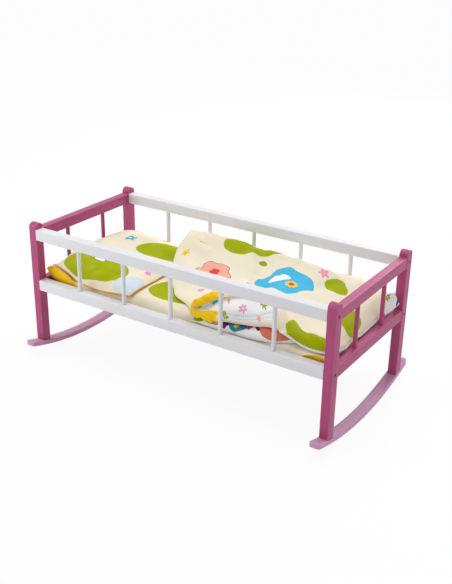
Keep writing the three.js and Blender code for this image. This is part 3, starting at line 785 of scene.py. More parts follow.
MATTRESS_SEAM = mattress_low[2] + 2.5
MATTRESS_DRAWN_IN = 1.5
MATTRESS_SAG = 0.8
MATTRESS_SIDES = 26
MATTRESS_FRONT_ROLL = [
    (-236, 20), (-229, 26), (-221, 29), (-210, 26.5), (-200, 22.5), (-190, 17), (-182, 9), (-170, 0),
    (190, 0), (202, 7), (212, 11), (226, 11.5), (236, 8),
]
MATTRESS_ROLL_DEPTH = 13.0
MATTRESS_FOLDS = [((40, -60), (120, -95), -0.8, 14.0)]


def make_mattress():
    u, v = grid(120, 54)
    x = u * (BED_HALF_LENGTH - MATTRESS_DRAWN_IN * (1 - v * v))
    y = v * (BED_HALF_WIDTH - MATTRESS_DRAWN_IN * (1 - u * u))
    in_roll = ramp(-y, BED_HALF_WIDTH - MATTRESS_ROLL_DEPTH, BED_HALF_WIDTH)
    seam = MATTRESS_SEAM + through(x, MATTRESS_FRONT_ROLL) * in_roll
    full = fullness(u, v, MATTRESS_SIDES)
    crown = np.maximum(folded(MATTRESS_TOP - MATTRESS_SAG, x, y, MATTRESS_FOLDS), seam)
    above = np.stack([x, y, seam + (crown - seam) * full], -1)
    below = np.stack([x, y, seam + (mattress_low[2] - seam) * full], -1)
    pad = Pad("mattress_pad", above, below, [MATTRESS_PRINT, PLAIN_YOLK])
    keep = kept_above(Bed([]), least=mattress_low[2], gap=0.0)
    pucker(pad, pressure=1.0, loose=0.02, most=0.7, keep=keep)
    return pad


# Pillow: pushed up against the left end, so that its far edge and its near corner ride up

PILLOW_MIDDLE = (pillow_low[0] + pillow_high[0]) / 2
PILLOW_HALF = (pillow_high[0] - pillow_low[0]) / 2
PILLOW_LEAST = pillow_low[2] - 6.0
PILLOW_DRAWN_IN = 4.0
PILLOW_CORNER_TUCK = 11.0
PILLOW_FALL = 5.0
PILLOW_LOFT = 2.0
PILLOW_LEFT_SEAM = [(-98, 143), (-86, 140), (-60, 141), (-10, 148), (15, 149), (45, 145), (98, 135)]
PILLOW_FRONT_SEAM = [
    (-236, 143), (-222, 140), (-200, 134), (-180, 128), (-150, 124.8), (-115, 123.5), (-78, 125),
]
PILLOW_BACK_SEAM = [(-236, 139), (-200, 134), (-150, 131), (-78, 129)]
PILLOW_RIGHT_SEAM = 129.0
PILLOW_RIGHT_DIP = 1.5
PILLOW_CROWN = [(-236, 151), (-222, 152.5), (-205, 151), (-157, 145), (-115, 139.5), (-78, 136)]
PILLOW_FOLDS = [
    ((-205, -70), (-150, -30), -2.0, 14.0),
    ((-140, 60), (-100, -30), 1.5, 18.0),
    ((-172, -94), (-160, -72), -1.6, 5.0),
    ((-128, -94), (-122, -70), 1.6, 5.0),
    ((-214, -40), (-186, -14), 1.6, 8.0),
    ((-100, 10), (-84, -30), -1.8, 7.0),
]


def pillow_seam(u, v, x, y):
    """Height of the seam, carried inwards from the pillow's four edges."""
    front = through(x, PILLOW_FRONT_SEAM)
    seam = front + (through(x, PILLOW_BACK_SEAM) - front) * (v + 1) / 2
    seam = seam + (through(y, PILLOW_LEFT_SEAM) - seam) * ramp(-u, 0.25, 1.0)
    right = PILLOW_RIGHT_SEAM - PILLOW_RIGHT_DIP * ramp(-v, 0.7, 1.0)
    return seam + (right - seam) * ramp(u, 0.4, 1.0)


def make_pillow(mattress):
    u, v = grid(58, 68)
    x = PILLOW_MIDDLE + u * (PILLOW_HALF - PILLOW_DRAWN_IN * (1 - v * v))
    x = x + PILLOW_CORNER_TUCK * ramp(-u, 0.6, 1.0) * ramp(-v, 0.4, 1.0)
    y = v * (BED_HALF_WIDTH - PILLOW_DRAWN_IN * (1 - u * u) * ramp(v, -1.0, 0.0))
    seam = pillow_seam(u, v, x, y)
    crown = through(x, PILLOW_CROWN)
    crown = crown - PILLOW_FALL * ramp(np.abs(v), 0.35, 1.0) * ramp(-u, 0.0, 1.0)
    crown = np.maximum(folded(crown, x, y, PILLOW_FOLDS), seam + PILLOW_LOFT)
    above = np.stack([x, y, seam + (crown - seam) * fullness(u, v, 3.6)], -1)
    bed = Bed([mattress])
    low = np.minimum(bed.height(x, y, PILLOW_LEAST) + 0.6, seam)
    upright = ramp(-v, 0.6, 0.9) * ramp(-u, 0.3, 0.7)
    full = fullness(u, v, 14) * (1 - upright) + fullness(u, v, 70) * upright
    below = np.stack([x, y, seam + (low - seam) * full], -1)
    pad = Pad("pillow_pad", above, below, [PILLOW_PRINT, PLAIN_YOLK])
    keep = kept_above(bed, least=RAIL_TOP, gap=0.5)
    pucker(pad, pressure=2.0, loose=0.05, most=2.2, keep=keep)
    return pad


# Fold under the quilt: the part of it that is tucked in below the mouth at its front

FOLD_RIM = [
    (27, -96.6, 120.2), (38, -97.0, 119.8), (50, -97.2, 119.3), (66, -97.3, 119.0), (84, -97.3, 119.0),
    (100, -97.3, 119.6), (128, -97.0, 121.9), (153, -94.6, 124.6), (172, -91.0, 126.4),
    (190, -84.0, 127.4), (206, -75.0, 127.8),
]
FOLD_CREST = [
    (27, 124.5), (46, 127), (74, 129.5), (100, 131.5), (123, 135), (149, 138), (172, 134),
    (190, 130.5), (206, 128.8),
]
FOLD_BACK = -58.0
FOLD_BACK_RIM = 128.2
FOLD_LEAST = RAIL_TOP - 2.0
FOLD_WRINKLES = [((108, -97), (118, -80), -1.6, 5.0), ((140, -96), (136, -80), 1.2, 6.0)]


def make_quilt_fold(mattress):
    u, v = grid(64, 22)
    x = FOLD_RIM[0][0] + (u + 1) / 2 * (FOLD_RIM[-1][0] - FOLD_RIM[0][0])
    front = through(x, FOLD_RIM)
    y = front + (v + 1) / 2 * (FOLD_BACK - front)
    rim = through(x, FOLD_RIM, 2)
    rim = rim + (FOLD_BACK_RIM - rim) * ramp(v, -0.6, 1.0)
    crest = np.maximum(folded(through(x, FOLD_CREST), x, y, FOLD_WRINKLES), rim)
    above = np.stack([x, y, rim + (crest - rim) * fullness(u, v, 5)], -1)
    bed = Bed([mattress])
    low = np.minimum(bed.height(x, y, FOLD_LEAST) + 0.5, rim)
    below = np.stack([x, y, rim + (low - rim) * fullness(u, v, 8)], -1)
    pad = Pad("quilt_fold", above, below, [FOLD_PRINT, QUILT_REVERSE])
    keep = kept_above(bed, least=FOLD_LEAST, gap=0.4)
    pucker(pad, pressure=1.5, loose=0.05, most=1.0, keep=keep)
    return pad


# Quilt: bunched along the rear rail, its rear left corner up on the pillow, its front a mouth

QUILT_RIGHT = BED_HALF_LENGTH + 1.3
QUILT_LOFT = 4.0
QUILT_LEFT = [
    (-98, 30), (-93, 24), (-77, 3), (-66, -20), (-45, -42), (-20, -62), (20, -90), (50, -103), (98, -110),
]
QUILT_LEFT_RIM = [(-98, 131), (-66, 129.5), (-20, 131), (20, 138), (50, 147), (98, 166)]
QUILT_BACK_RIM = [(-110, 166), (0, 162), (116, 154.5), (190, 148), (236, 140)]
QUILT_RIGHT_RIM = [
    (-98, 127), (-68, 125), (-53, 122), (-33, 124.5), (-16, 121.8), (20, 122), (60, 126), (98, 131),
]
QUILT_BACK_CREST = [
    (-110, 172.5), (-60, 173), (0, 172), (60, 168), (116, 164.5), (167, 162.5), (190, 158.5), (236, 152),
]
QUILT_MIDDLE_CREST = [
    (-110, 143), (-60, 148), (0, 150), (60, 152), (110, 157), (170, 153), (236, 147),
]
QUILT_FRONT_CREST = [
    (-60, 132), (10, 143), (40, 155), (60, 161), (110, 160.5), (145, 157.5), (170, 151), (236, 146),
]
QUILT_FOLDS = [
    ((-98, 90), (0, 46), -6.0, 11.0),
    ((-84, 84), (-12, 52), -8.0, 6.5),
    ((-72, 96), (0, 66), 2.5, 8.0),
    ((-80, 62), (-38, 42), 4.5, 7.5),
    ((-62, 41), (-30, 26), -2.6, 4.5),
    ((58, 6), (82, -10), -5.0, 6.5),
    ((66, 18), (90, 2), 2.5, 6.5),
    ((24, 96), (50, 60), -3.5, 5.5),
    ((50, 60), (76, 26), -4.5, 6.0),
    ((206, -97), (186, -66), -3.2, 5.5),
    ((-92, 60), (20, 14), 4.0, 11.0),
    ((0, 46), (34, 8), -6.0, 11.0),
    ((14, 98), (50, 54), -8.5, 10.0),
    ((50, 54), (88, -6), -8.5, 10.0),
    ((22, 70), (46, 34), 4.5, 9.0),
    ((110, 60), (140, 10), 3.0, 28.0),
    ((176, 76), (150, 20), -3.5, 11.0),
    ((206, 92), (228, 0), -4.0, 10.0),
    ((-60, 20), (-20, -30), 3.0, 9.0),
    ((196, -90), (176, -50), -3.5, 8.0),
    ((222, -90), (212, -50), 3.0, 8.0),
    ((-72, 74), (-26, 60), 1.8, 5.0),
    ((-50, 88), (-6, 80), -1.8, 5.5),
    ((88, 84), (98, 44), 3.0, 6.0),
    ((98, 58), (116, 30), -2.4, 6.0),
    ((122, 80), (178, 62), 1.8, 6.0),
    ((150, 96), (162, 72), -2.4, 6.5),
    ((128, -20), (160, -44), -2.2, 6.5),
    ((180, 34), (216, 8), 2.0, 7.0),
    ((-22, 12), (8, -14), -2.4, 6.0),
    ((8, -20), (40, -44), 2.6, 7.0),
    ((60, -38), (104, -46), 2.0, 7.0),
    ((186, 90), (196, 52), 2.4, 6.0),
]

# Lines along the quilt's front, as rows of x, y and z, from its seam up to the top

QUILT_SEAM = [
    (24, -94, 132), (40, -93, 130.4), (62, -91, 129.4), (77, -88, 131.6), (100, -86, 134.5),
    (123, -85, 138.5), (149, -85, 142), (162, -89, 138.6), (180, -91.5, 132.8), (198, -93, 128.6),
    (223, -91, 128.2), (236, -82, 127.2),
]
QUILT_LINES = [
    [(24, -95.5, 130.4), (40, -95.8, 128.0), (62, -95.6, 126.9), (77, -91.8, 129.8),
     (100, -90, 132.8), (123, -89, 137.0), (149, -88, 141.0), (165, -91, 139)],
    [(24, -97.2, 134.5), (40, -97.7, 132.8), (62, -97.6, 133.4), (77, -95.2, 135.6),
     (100, -93.4, 138), (123, -91.8, 142.5), (149, -90, 147), (165, -91, 143)],
    [(24, -97.4, 138.8), (33, -97.2, 139.6), (42, -96, 138.6), (67, -93, 142), (85, -91.4, 141.6),
     (109, -90, 145), (126, -87, 150), (142, -80, 156), (165, -77, 157)],
    [(26, -96, 139.6), (40, -89, 139.8), (50, -85, 142), (60, -86, 146), (80, -88, 150.5),
     (110, -86.5, 153.5), (126, -83.5, 156.5), (142, -77, 160), (165, -74, 158)],
    [(26, -96, 140), (40, -86, 143), (50, -78, 149), (60, -74, 154.5), (80, -71, 160.5),
     (110, -71, 162.5), (142, -73, 161.5), (165, -72, 158)],
    [(24, -97, 140.8), (37, -95.4, 143.6), (48, -88.5, 150), (56, -84.5, 153.6), (64, -81, 157.8),
     (80, -76, 162.5), (110, -72, 164.5), (142, -71, 162.5), (165, -70, 158)],
    [(24, -97.5, 142.6), (34, -96.8, 147.8), (46, -90.5, 156), (56, -85, 160.5), (66, -80.5, 163.5),
     (80, -75.5, 166), (110, -71, 166), (142, -69, 163), (165, -68, 158)],
    [(22, -95.5, 144.5), (32, -92, 151), (42, -85.5, 159), (54, -79.5, 164.5), (66, -74.5, 167),
     (80, -69, 167.5), (110, -66, 167), (142, -63, 163), (165, -64, 158)],
]
QUILT_SHOULDER = [(20, -86), (40, -74), (60, -64), (80, -61), (110, -59), (165, -56)]
SHOULDER_STEP = 9.0
MOUTH_OPENS = 20, 29
MOUTH_CLOSES = 146, 172
ROWS_PER_LINE = 3
BAND_ROWS = ROWS_PER_LINE * (len(QUILT_LINES) + 1)
BAND_SHARE = 0.07

# Where the yellow lips and the pocket between them lie, in lines from the seam and along x

LIP_LINES = (0.4, 3.2), (5.8, 8.4)
LIP_SPAN = 25.0, 69.0
LIP_GATHER = 1.0
POCKET_LINES = 2.4, 5.8
POCKET_SPAN = 25.0, 148.0


def quilt_crest(x, y):
    """Height of the quilt's top, from its three crests along the bed and its folds."""
    height = through(x, QUILT_FRONT_CREST)
    height = height + (through(x, QUILT_MIDDLE_CREST) - height) * ramp(y, -62, 6)
    height = height + (through(x, QUILT_BACK_CREST) - height) * ramp(y, 8, 94)
    return folded(height, x, y, QUILT_FOLDS)


def quilt_surface(u, v, x, y):
    """Height of the quilt's upper layer, apart from its mouth, and of its seam carried inwards."""
    front = through(x, QUILT_SEAM, 2)
    seam = front + (through(x, QUILT_BACK_RIM) - front) * ramp(v, -0.6, 1.0)
    seam = seam + (through(y, QUILT_LEFT_RIM) - seam) * ramp(-u, 0.5, 1.0)
    seam = seam + (through(y, QUILT_RIGHT_RIM) - seam) * ramp(u, 0.9, 1.0)
    crest = np.maximum(quilt_crest(x, y), seam + QUILT_LOFT)
    right_side = 7 - 3.2 * ramp(u, 0.0, 0.5) * ramp(-np.abs(v), -0.95, -0.6)
    front_side = 7 - 2.6 * ramp(-v, 0.0, 0.5) * ramp(x, 140, 180)
    return seam + (crest - seam) * fullness(u, v, right_side, front_side), seam


def mouth_profile(x, place):
    """Smooth curve across the mouth's lines; place runs from 0 at the seam to 9 at the shoulder."""
    lines = [QUILT_SEAM] + QUILT_LINES
    ys = [through(x, line, 1) for line in lines]
    zs = [through(x, line, 2) for line in lines]
    for shift in (0.0, SHOULDER_STEP):
        y = through(x, QUILT_SHOULDER) + shift
        ys.append(y)
        zs.append(quilt_surface(np.zeros_like(x), np.full_like(x, -0.7), x, y)[0])
    ys.insert(0, ys[0] + 2.0)
    zs.insert(0, zs[0] + 1.0)
    k = np.minimum(place.astype(int), len(lines) - 1)
    t = place - k
    ys, zs = np.array(ys), np.array(zs)

    def curve(values):
        a, b, c, d = (np.take_along_axis(values, (k + n)[None], 0)[0] for n in range(4))
        return b + t / 2 * (c - a + t * (2 * a - 5 * b + 4 * c - d + t * (3 * (b - c) + d - a)))

    return curve(ys), curve(zs)


def lip_puckers(x, place):
    """Small gathers where the yellow binding is drawn round the mouth's left end."""
    on_lips = sum(
        ramp(place, low - 0.3, low + 0.5) * ramp(-place, -high - 0.3, -high + 0.5)
        for low, high in LIP_LINES
    )
    start, stop = LIP_SPAN
    on_lips = on_lips * ramp(x, start, start + 8) * ramp(-x, -stop - 4, -stop + 12)
    gathers = np.sin(x / 1.7 + 1.1 * place) + 0.8 * np.sin(x / 2.9 - 1.9 * place)
    return LIP_GATHER * on_lips * gathers


def quilt_shares(rows_behind):
    """How far back each row of points lies, from 0 to 1, with the mouth's rows close together."""
    reach = 0.42 * math.pi
    mouth = BAND_SHARE * np.linspace(0, 1, BAND_ROWS + 1)
    behind = np.sin(np.linspace(0, 1, rows_behind + 1) * reach)[1:] / math.sin(reach)
    return np.concatenate([mouth, BAND_SHARE + (1 - BAND_SHARE) * behind])


def quilt_above(u, share, x, front):
    """Places of the upper layer's points; those in the mouth follow its lines."""
    depth = BED_HALF_WIDTH - front
    mouth = ramp(x, *MOUTH_OPENS) * (1 - ramp(x, *MOUTH_CLOSES))
    shoulder = front + BAND_SHARE * depth
    shoulder = shoulder + (through(x, QUILT_SHOULDER) - shoulder) * mouth
    behind = shoulder + (share - BAND_SHARE) / (1 - BAND_SHARE) * (BED_HALF_WIDTH - shoulder)
    y = np.where(share > BAND_SHARE, behind, front + share * depth)
    z = quilt_surface(u, 2 * (y - front) / depth - 1, x, y)[0]
    band = np.s_[:, : BAND_ROWS + 1]
    place = np.broadcast_to(np.linspace(0, len(QUILT_LINES) + 1, BAND_ROWS + 1), x[band].shape)
    mouth_y, mouth_z = mouth_profile(x[band], place)
    mouth_z = mouth_z + lip_puckers(x[band], place)
    mouth_y = mouth_y + 0.6 * lip_puckers(x[band] + 3.0, place)
    y[band] += (mouth_y - y[band]) * mouth[band]
    z[band] += (mouth_z - z[band]) * mouth[band]
    return np.stack([x, y, z], -1)


def quilt_zones(x):
    """Which cloth each face of the upper layer shows: 0 print, 1 reverse, 2 yellow."""
    line = (np.arange(x.shape[1] - 1) + 0.5) / ROWS_PER_LINE
    middle_x = (x[:-1, :-1] + x[1:, 1:]) / 2
    zones = np.zeros(middle_x.shape, int)
    zones[between(line, POCKET_LINES)[None] & between(middle_x, POCKET_SPAN)] = 1
    for lip in LIP_LINES:
        zones[between(line, lip)[None] & between(middle_x, LIP_SPAN)] = 2
    return zones


def make_quilt(resting_on):
    u, share = np.meshgrid(spread(132), quilt_shares(50), indexing="ij")
    v = 2 * share - 1
    left = through(BED_HALF_WIDTH * v, QUILT_LEFT)
    right = QUILT_RIGHT - 1.5 * ramp(np.abs(v), 0.75, 1.0)
    x = left + (u + 1) / 2 * (right - left)
    front = through(x, QUILT_SEAM, 1)
    above = quilt_above(u, share, x, front)
    y = front + share * (BED_HALF_WIDTH - front)
    seam = quilt_surface(u, v, x, y)[1]
    bed = Bed(resting_on)
    low = np.minimum(bed.height(x, y, RAIL_TOP) + 0.8, seam)
    below = np.stack([x, y, seam + (low - seam) * fullness(u, v, 9)], -1)
    cloths = [QUILT_PRINT, QUILT_REVERSE, PLAIN_YOLK]
    pad = Pad("quilt_pad", above, below, cloths, quilt_zones(x))
    gap = np.where(pad.is_under, 0.7, 1.2)
    keep = kept_above(bed, RAIL_TOP, gap, QUILT_RIGHT)
    pucker(pad, pressure=2.0, loose=0.05, most=1.8, keep=keep)
    return pad


# Corner of the quilt that is turned up over the right end rail

CORNER_FRONT_TOP = (231.5, 80, 148)
CORNER_BACK_TOP = (237, 96.5, 146.5)
CORNER_BACK_LOW = (248.4, 88.5, 134)
CORNER_FRONT_LOW = (238.2, 64, 122.4)
CORNER_OUTWARD = (0.36, -0.56, 0.74)
CORNER_THICKNESS = 4.0
CORNER_WAVE = 1.2


def corner_edge(low, top, down):
    return np.array(low) + (np.array(top) - low) * (1 - down)


def make_quilt_corner():
    u, v = grid(18, 22)
    across, down = (u[..., None] + 1) / 2, (v[..., None] + 1) / 2
    front = corner_edge(CORNER_FRONT_LOW, CORNER_FRONT_TOP, down)
    back = corner_edge(CORNER_BACK_LOW, CORNER_BACK_TOP, down)
    middle = front + (back - front) * across
    outward = np.array(CORNER_OUTWARD)
    belly = CORNER_THICKNESS * fullness(u, v, 4)[..., None]
    wave = CORNER_WAVE * np.sin(across * 5.0 + down * 2.0)
    above = middle + outward * (belly / 2 + wave)
    below = middle + outward * (wave - belly / 2)
    pad = Pad("quilt_corner", above, below, [CORNER_PRINT, QUILT_PRINT])
    pucker(pad, pressure=1.0, loose=0.03, most=0.6, keep=lambda places: places)
    return pad


# Prints: rounded spots, petals and hills in the bedding's colours

MATTRESS_MOTIFS = [
    (-38, -44, 30, 1.5, 15, 3, 0.08, LIME, False),
    (-30, 60, 22, 1.2, 40, 2, 0.1, SKY, False),
    (60, 10, 26, 1.0, 0, 5, 0.12, CORAL, True),
    (160, 40, 30, 1.4, 70, 3, 0.1, LIME, False),
    (-150, 20, 26, 1.3, 20, 2, 0.1, YOLK, False),
    (-200, -70, 10, 1.0, 0, 5, 0.25, ROSE, False),
    (-110, -84, 7, 1.0, 0, 5, 0.25, LEAF, False),
]
PILLOW_MOTIFS = [
    (-172, -58, 40, 1.35, 8, 3, 0.1, LIME, False),
    (-118, 46, 32, 1.4, -30, 2, 0.1, LIME, False),
    (-178, -44, 7, 1.6, 20, 3, 0.12, MILK, True),
    (-92, -80, 24, 1.2, 50, 3, 0.08, MIST, False),
    (-124, -16, 9, 1.0, 10, 5, 0.28, CORAL, True),
    (-124, -16, 2.6, 1.0, 0, 1, 0.0, RED, False),
    (-190, 44, 8, 1.0, 30, 5, 0.28, SKY, True),
    (-190, 44, 2.4, 1.0, 0, 1, 0.0, MILK, False),
    (-96, -30, 5, 1.0, 0, 5, 0.28, ROSE, False),
    (-150, 84, 4, 1.8, 30, 2, 0.0, AMBER, False),
]
QUILT_MOTIFS = [
    (4, 22, 24, 1.15, 20, 5, 0.14, CORAL, True),
    (4, 22, 8.5, 1.0, 40, 5, 0.1, RED, False),
    (118, 16, 34, 1.3, -12, 4, 0.08, SKY, False),
    (104, 22, 9, 1.5, 0, 3, 0.12, CHALK, False),
    (117, 26, 8, 1.2, 0, 3, 0.12, CHALK, False),
    (130, 8, 9, 1.0, 12, 8, 0.12, YOLK, False),
    (130, 8, 4.5, 1.0, 0, 1, 0.0, RED, False),
    (42, 104, 30, 1.6, -6, 2, 0.08, LIME, False),
    (196, 58, 16, 1.3, 30, 3, 0.1, LIME, False),
    (66, -12, 9, 1.15, 35, 1, 0.3, CORAL, True),
    (68, -11, 3.6, 1.15, 35, 1, 0.3, RED, False),
    (166, 66, 8, 1.0, 0, 5, 0.28, ROSE, False),
    (166, 66, 2.5, 1.0, 0, 1, 0.0, YOLK, False),
    (-62, 62, 6, 1.0, 0, 5, 0.28, YOLK, False),
    (-62, 62, 2, 1.0, 0, 1, 0.0, AMBER, False),
    (226, -114, 46, 1.35, 0, 2, 0.04, LIME, False),
    (186, -103, 41, 1.4, 0, 2, 0.04, LIME, False),
    (-6, -44, 6, 1.0, 10, 5, 0.28, ROSE, False),
    (232, 0, 18, 1.5, 80, 3, 0.1, LIME, False),
    (70, 62, 5, 1.5, 40, 2, 0.0, LEAF, False),
    (-40, 88, 4, 1.8, -30, 2, 0.0, AMBER, False),
]
SPRIG_MOTIFS = [
    (12, 12, 5.2, 1.0, 0, 6, 0.34, ROSE, False),
    (12, 12, 1.7, 1.0, 0, 1, 0.0, CHALK, False),
    (38, 30, 5.0, 1.0, 20, 6, 0.36, LEAF, False),
    (38, 30, 1.7, 1.0, 0, 1, 0.0, YOLK, False),
    (37, 9, 3.2, 1.0, 0, 5, 0.2, CORAL, False),
    (13, 32, 3.2, 1.6, -30, 2, 0.1, SKY, False),
]
SPRIG_CELL = 50.0, 42.0
CORNER_MOTIFS = [
    (232, 73, 4.4, 1.0, 20, 6, 0.36, LEAF, False),
    (232, 73, 1.6, 1.0, 0, 1, 0.0, YOLK, False),
    (252, 84, 2.4, 3.5, 60, 1, 0.0, NAVY, False),
]
FOLD_MOTIFS = [
    (34, -90, 7, 1.4, 20, 3, 0.1, LIME, False),
    (58, -88, 9, 1.3, 20, 3, 0.1, CORAL, True),
    (76, -90, 8, 1.0, 0, 5, 0.2, PLUM, False),
    (95, -88, 11, 1.3, 10, 4, 0.06, TEAL, False),
    (95, -91, 3.4, 1.0, 0, 5, 0.2, YOLK, False),
    (114, -88, 5, 1.0, 0, 5, 0.2, MAGENTA, False),
    (128, -90, 2.4, 2.6, 40, 1, 0.0, INK, False),
    (156, -84, 18, 1.5, -10, 3, 0.06, BRICK, False),
    (190, -74, 10, 1.2, 0, 3, 0.1, CORAL, True),
]

MATTRESS_PRINT = cotton("mattress_print", CREAM, MATTRESS_MOTIFS)
PILLOW_PRINT = cotton("pillow_print", CREAM, PILLOW_MOTIFS)
QUILT_PRINT = cotton("quilt_print", CREAM, QUILT_MOTIFS)
QUILT_REVERSE = cotton("quilt_reverse", MILK, SPRIG_MOTIFS, SPRIG_CELL)
CORNER_PRINT = cotton("corner_print", MILK, CORNER_MOTIFS)
FOLD_PRINT = cotton("fold_print", MILK, FOLD_MOTIFS)
# The yellow cloth gets painted shade in orange streaks for its creases
PLAIN_YOLK = cotton("yolk_cotton", YOLK, crease_shade=CREASE_SHADE_ORANGE)


# Piping and stitches, which follow a path on a pad

def end_geometry(w, leave, geometry, material):
    """Closes a tree: instances made real, smooth faces, one material."""
    real = w.node("GeometryNodeRealizeInstances", {0: geometry}).outputs[0]
    smooth = w.node("GeometryNodeSetShadeSmooth", {0: real, "Shade Smooth": True}).outputs[0]
    done = w.node("GeometryNodeSetMaterial", {"Geometry": smooth, "Material": material}).outputs[0]
    w.feed(leave, {"Geometry": done})


def piping_group():
    """A round cord along a path, resampled into even steps."""
    tree, w, given, leave = geometry_group(
        "piping",
        [
            ("Radius", FLOAT, 1.0 * MM),
            ("Step", FLOAT, 1.6 * MM),
            ("Sides", WHOLE, 8),
            ("Material", MATERIAL, None),
        ],
    )
    path = w.node("GeometryNodeMeshToCurve", {"Mesh": given["Geometry"]}).outputs[0]
    inputs = {"Curve": path, "Length": given["Step"]}
    even = w.node("GeometryNodeResampleCurve", inputs, mode="LENGTH").outputs[0]
    inputs = {"Resolution": given["Sides"], "Radius": given["Radius"]}
    round_cord = w.node("GeometryNodeCurvePrimitiveCircle", inputs, mode="RADIUS").outputs[0]
    inputs = {"Curve": even, "Profile Curve": round_cord, "Fill Caps": True}
    tube = w.node("GeometryNodeCurveToMesh", inputs).outputs[0]
    end_geometry(w, leave, tube, given["Material"])
    return tree


def stitch_group():
    """Short rounded threads set one after another along a path."""
    tree, w, given, leave = geometry_group(
        "stitches",
        [
            ("Spacing", FLOAT, 3.2 * MM),
            ("Length", FLOAT, 2.2 * MM),
            ("Thickness", FLOAT, 0.5 * MM),
            ("Material", MATERIAL, None),
        ],
    )
    path = w.node("GeometryNodeMeshToCurve", {"Mesh": given["Geometry"]}).outputs[0]
    inputs = {"Curve": path, "Length": given["Spacing"]}
    points = w.node("GeometryNodeCurveToPoints", inputs, mode="LENGTH").outputs
    bead = w.node("GeometryNodeMeshUVSphere", {"Segments": 6, "Rings": 5, "Radius": 0.5}).outputs[0]
    inputs = {"X": given["Thickness"], "Y": given["Thickness"], "Z": given["Length"]}
    size = w.node("ShaderNodeCombineXYZ", inputs).outputs[0]
    inputs = {"Points": points["Points"], "Instance": bead, "Rotation": points["Rotation"], "Scale": size}
    thread = w.node("GeometryNodeInstanceOnPoints", inputs).outputs[0]
    end_geometry(w, leave, thread, given["Material"])
    return tree


def grow(name, path, closed, tree, values):
    """A plain mesh that the tree makes along a path of places in millimetres."""
    count = len(path)
    edges = [(k, (k + 1) % count) for k in range(count if closed else count - 1)]
    mesh = bpy.data.meshes.new(name)
    mesh.from_pydata((path * MM).tolist(), edges, [])
    piece = add_object(name, mesh)
    modifier = piece.modifiers.new(tree.name, "NODES")
    modifier.node_group = tree
    for socket in tree.interface.items_tree:
        if socket.in_out == "INPUT" and socket.name in values:
            modifier[socket.identifier] = values[socket.name]
    make_plain(piece)
    return piece


PIPING = piping_group()
STITCHES = stitch_group()
AMBER_CORD = corded("amber_cord", AMBER)
YOLK_CORD = corded("yolk_cord", YOLK)
MILK_CORD = corded("milk_cord", MILK)
SLATE_CORD = corded("slate_cord", SLATE)
STITCH_LIFT = 0.1
QUILT_PIPING_START = 158.0
HEM_SPAN = 76.0, 150.0
HEM_ROWS = 8, 10


def pipe(name, pad, radius, material, path=None):
    """Piping along a path, or all round a pad's seam."""
    closed = path is None
    route = pad.ring() if closed else path
    values = {"Radius": radius * MM, "Material": material}
    return grow(name, route, closed, PIPING, values)


def stitch(name, path, closed, material, spacing=3.2, length=2.2, thickness=0.5):
    values = {"Spacing": spacing * MM, "Length": length * MM, "Thickness": thickness * MM}
    values["Material"] = material
    return grow(name, path + np.array((0, 0, STITCH_LIFT)), closed, STITCHES, values)


def quilt_piping_path(quilt):
    """From the right end of the mouth round the right front corner and along the right side."""
    front = quilt.places()[quilt.top[:, 0]]
    right = quilt.places()[quilt.top[-1, :]]
    return np.concatenate([front[front[:, 0] > QUILT_PIPING_START], right[1:-1]])


def quilt_hem_path(quilt, row):
    """Along the hem below the mouth, in one row of the quilt's points."""
    route = quilt.places()[quilt.top[:, row]]
    return route[between(route[:, 0], HEM_SPAN)]


mattress = make_mattress()
pillow = make_pillow(mattress)
fold_pad = make_quilt_fold(mattress)
quilt = make_quilt([mattress, pillow, fold_pad])
corner = make_quilt_corner()

for pad, node, fill in ((mattress, "mattress", 0.7), (pillow, "pillow", 0.5), (quilt, "quilt", 0.4)):
    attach(pad.object, node)
    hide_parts(node)
for pad in (fold_pad, corner):
    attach(pad.object, "quilt")

trims = [
    (pipe("mattress_piping", mattress, 0.9, YOLK_CORD), "mattress"),
    (pipe("pillow_piping", pillow, 0.8, AMBER_CORD), "pillow"),
    (pipe("quilt_piping", quilt, 1.5, MILK_CORD, quilt_piping_path(quilt)), "quilt"),
    (stitch("pillow_stitches", pillow.ring(3), True, YOLK_CORD), "pillow"),
]
for row in HEM_ROWS:
    name = "quilt_hem_stitches_" + str(row)
    trims.append((stitch(name, quilt_hem_path(quilt, row), False, SLATE_CORD, 3.0, 1.7, 0.6), "quilt"))
for piece, node in trims:
    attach(piece, node)


# Stage and light

FLOOR_HALF = 6.0
FLOOR_GLOW = 0.92
PURE_WHITE = (1.0, 1.0, 1.0, 1.0)
WORLD_STRENGTH = 0.21

# Suns: name, the side they shine from, angle in degrees and strength

SUNS = [
    ("overhead", (0.0, 0.0, 1.0), 50.0, 1.0),
    ("front", (0.15, -1.0, 0.75), 40.0, 0.22),
    ("key", (-0.35, -0.25, 1.0), 40.0, 0.6),
]

# Square lamps: name, place, the place they point at, side and power

LAMPS = [
    ("left_side", (-0.75, -0.7, 0.42), (-0.15, 0, 0.13), 0.5, 2.7),
    ("right_side", (1.3, -0.1, 0.5), (0.2, 0, 0.1), 0.9, 1.0),
    ("behind", (0.2, 1.6, 1.0), (0.0, 0, 0.1), 1.2, 20.0),
]


def seen(w):
    """1 for the camera's rays and for reflections, to which the surroundings look white."""
    rays = w.node("ShaderNodeLightPath").outputs
    return w.sum("MAXIMUM", rays["Is Camera Ray"], rays["Is Glossy Ray"])


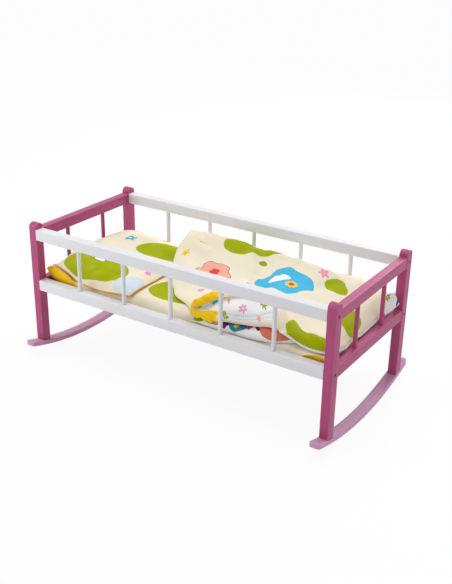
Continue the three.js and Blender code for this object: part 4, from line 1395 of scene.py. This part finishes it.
def make_floor():
    """A pale floor that keeps the cradle's soft shadow."""
    corners = [(-FLOOR_HALF, -FLOOR_HALF, 0), (FLOOR_HALF, -FLOOR_HALF, 0)]
    corners += [(FLOOR_HALF, FLOOR_HALF, 0), (-FLOOR_HALF, FLOOR_HALF, 0)]
    mesh = bpy.data.meshes.new("floor")
    mesh.from_pydata(corners, [], [(0, 1, 2, 3)])
    floor = add_object("floor", mesh)
    material, w = new_material("pale_floor")
    matt = w.node("ShaderNodeBsdfDiffuse", {"Color": FLOOR_WHITE}).outputs[0]
    glow = w.node("ShaderNodeEmission", {"Strength": 1.0}).outputs[0]
    lit = w.node("ShaderNodeMixShader", {0: FLOOR_GLOW, 1: matt, 2: glow}).outputs[0]
    shown = w.node("ShaderNodeMixShader", {0: seen(w), 1: matt, 2: lit}).outputs[0]
    w.node("ShaderNodeOutputMaterial", {"Surface": shown})
    mesh.materials.append(material)


def make_world():
    world = bpy.data.worlds.new("studio")
    bpy.context.scene.world = world
    world.use_nodes = True
    world.node_tree.nodes.clear()
    w = Wiring(world.node_tree)
    dim = w.node("ShaderNodeBackground", {"Color": PURE_WHITE, "Strength": WORLD_STRENGTH}).outputs[0]
    full = w.node("ShaderNodeBackground", {"Color": PURE_WHITE, "Strength": 1.0}).outputs[0]
    mixed = w.node("ShaderNodeMixShader", {0: seen(w), 1: dim, 2: full}).outputs[0]
    w.node("ShaderNodeOutputWorld", {"Surface": mixed})


def make_sun(name, towards, angle, strength):
    data = bpy.data.lights.new(name, "SUN")
    data.angle = math.radians(angle)
    data.energy = strength
    sun = add_object(name, data)
    sun.rotation_euler = Vector(towards).to_track_quat("Z", "Y").to_euler()


def make_lamp(name, place, aim, side, power):
    data = bpy.data.lights.new(name, "AREA")
    data.shape = "SQUARE"
    data.size = side
    data.energy = power
    lamp = add_object(name, data)
    lamp.location = place
    lamp.rotation_euler = (Vector(aim) - Vector(place)).to_track_quat("-Z", "Y").to_euler()


make_floor()
make_world()
for row in SUNS:
    make_sun(*row)
for row in LAMPS:
    make_lamp(*row)

bpy.context.scene.view_settings.view_transform = "Standard"
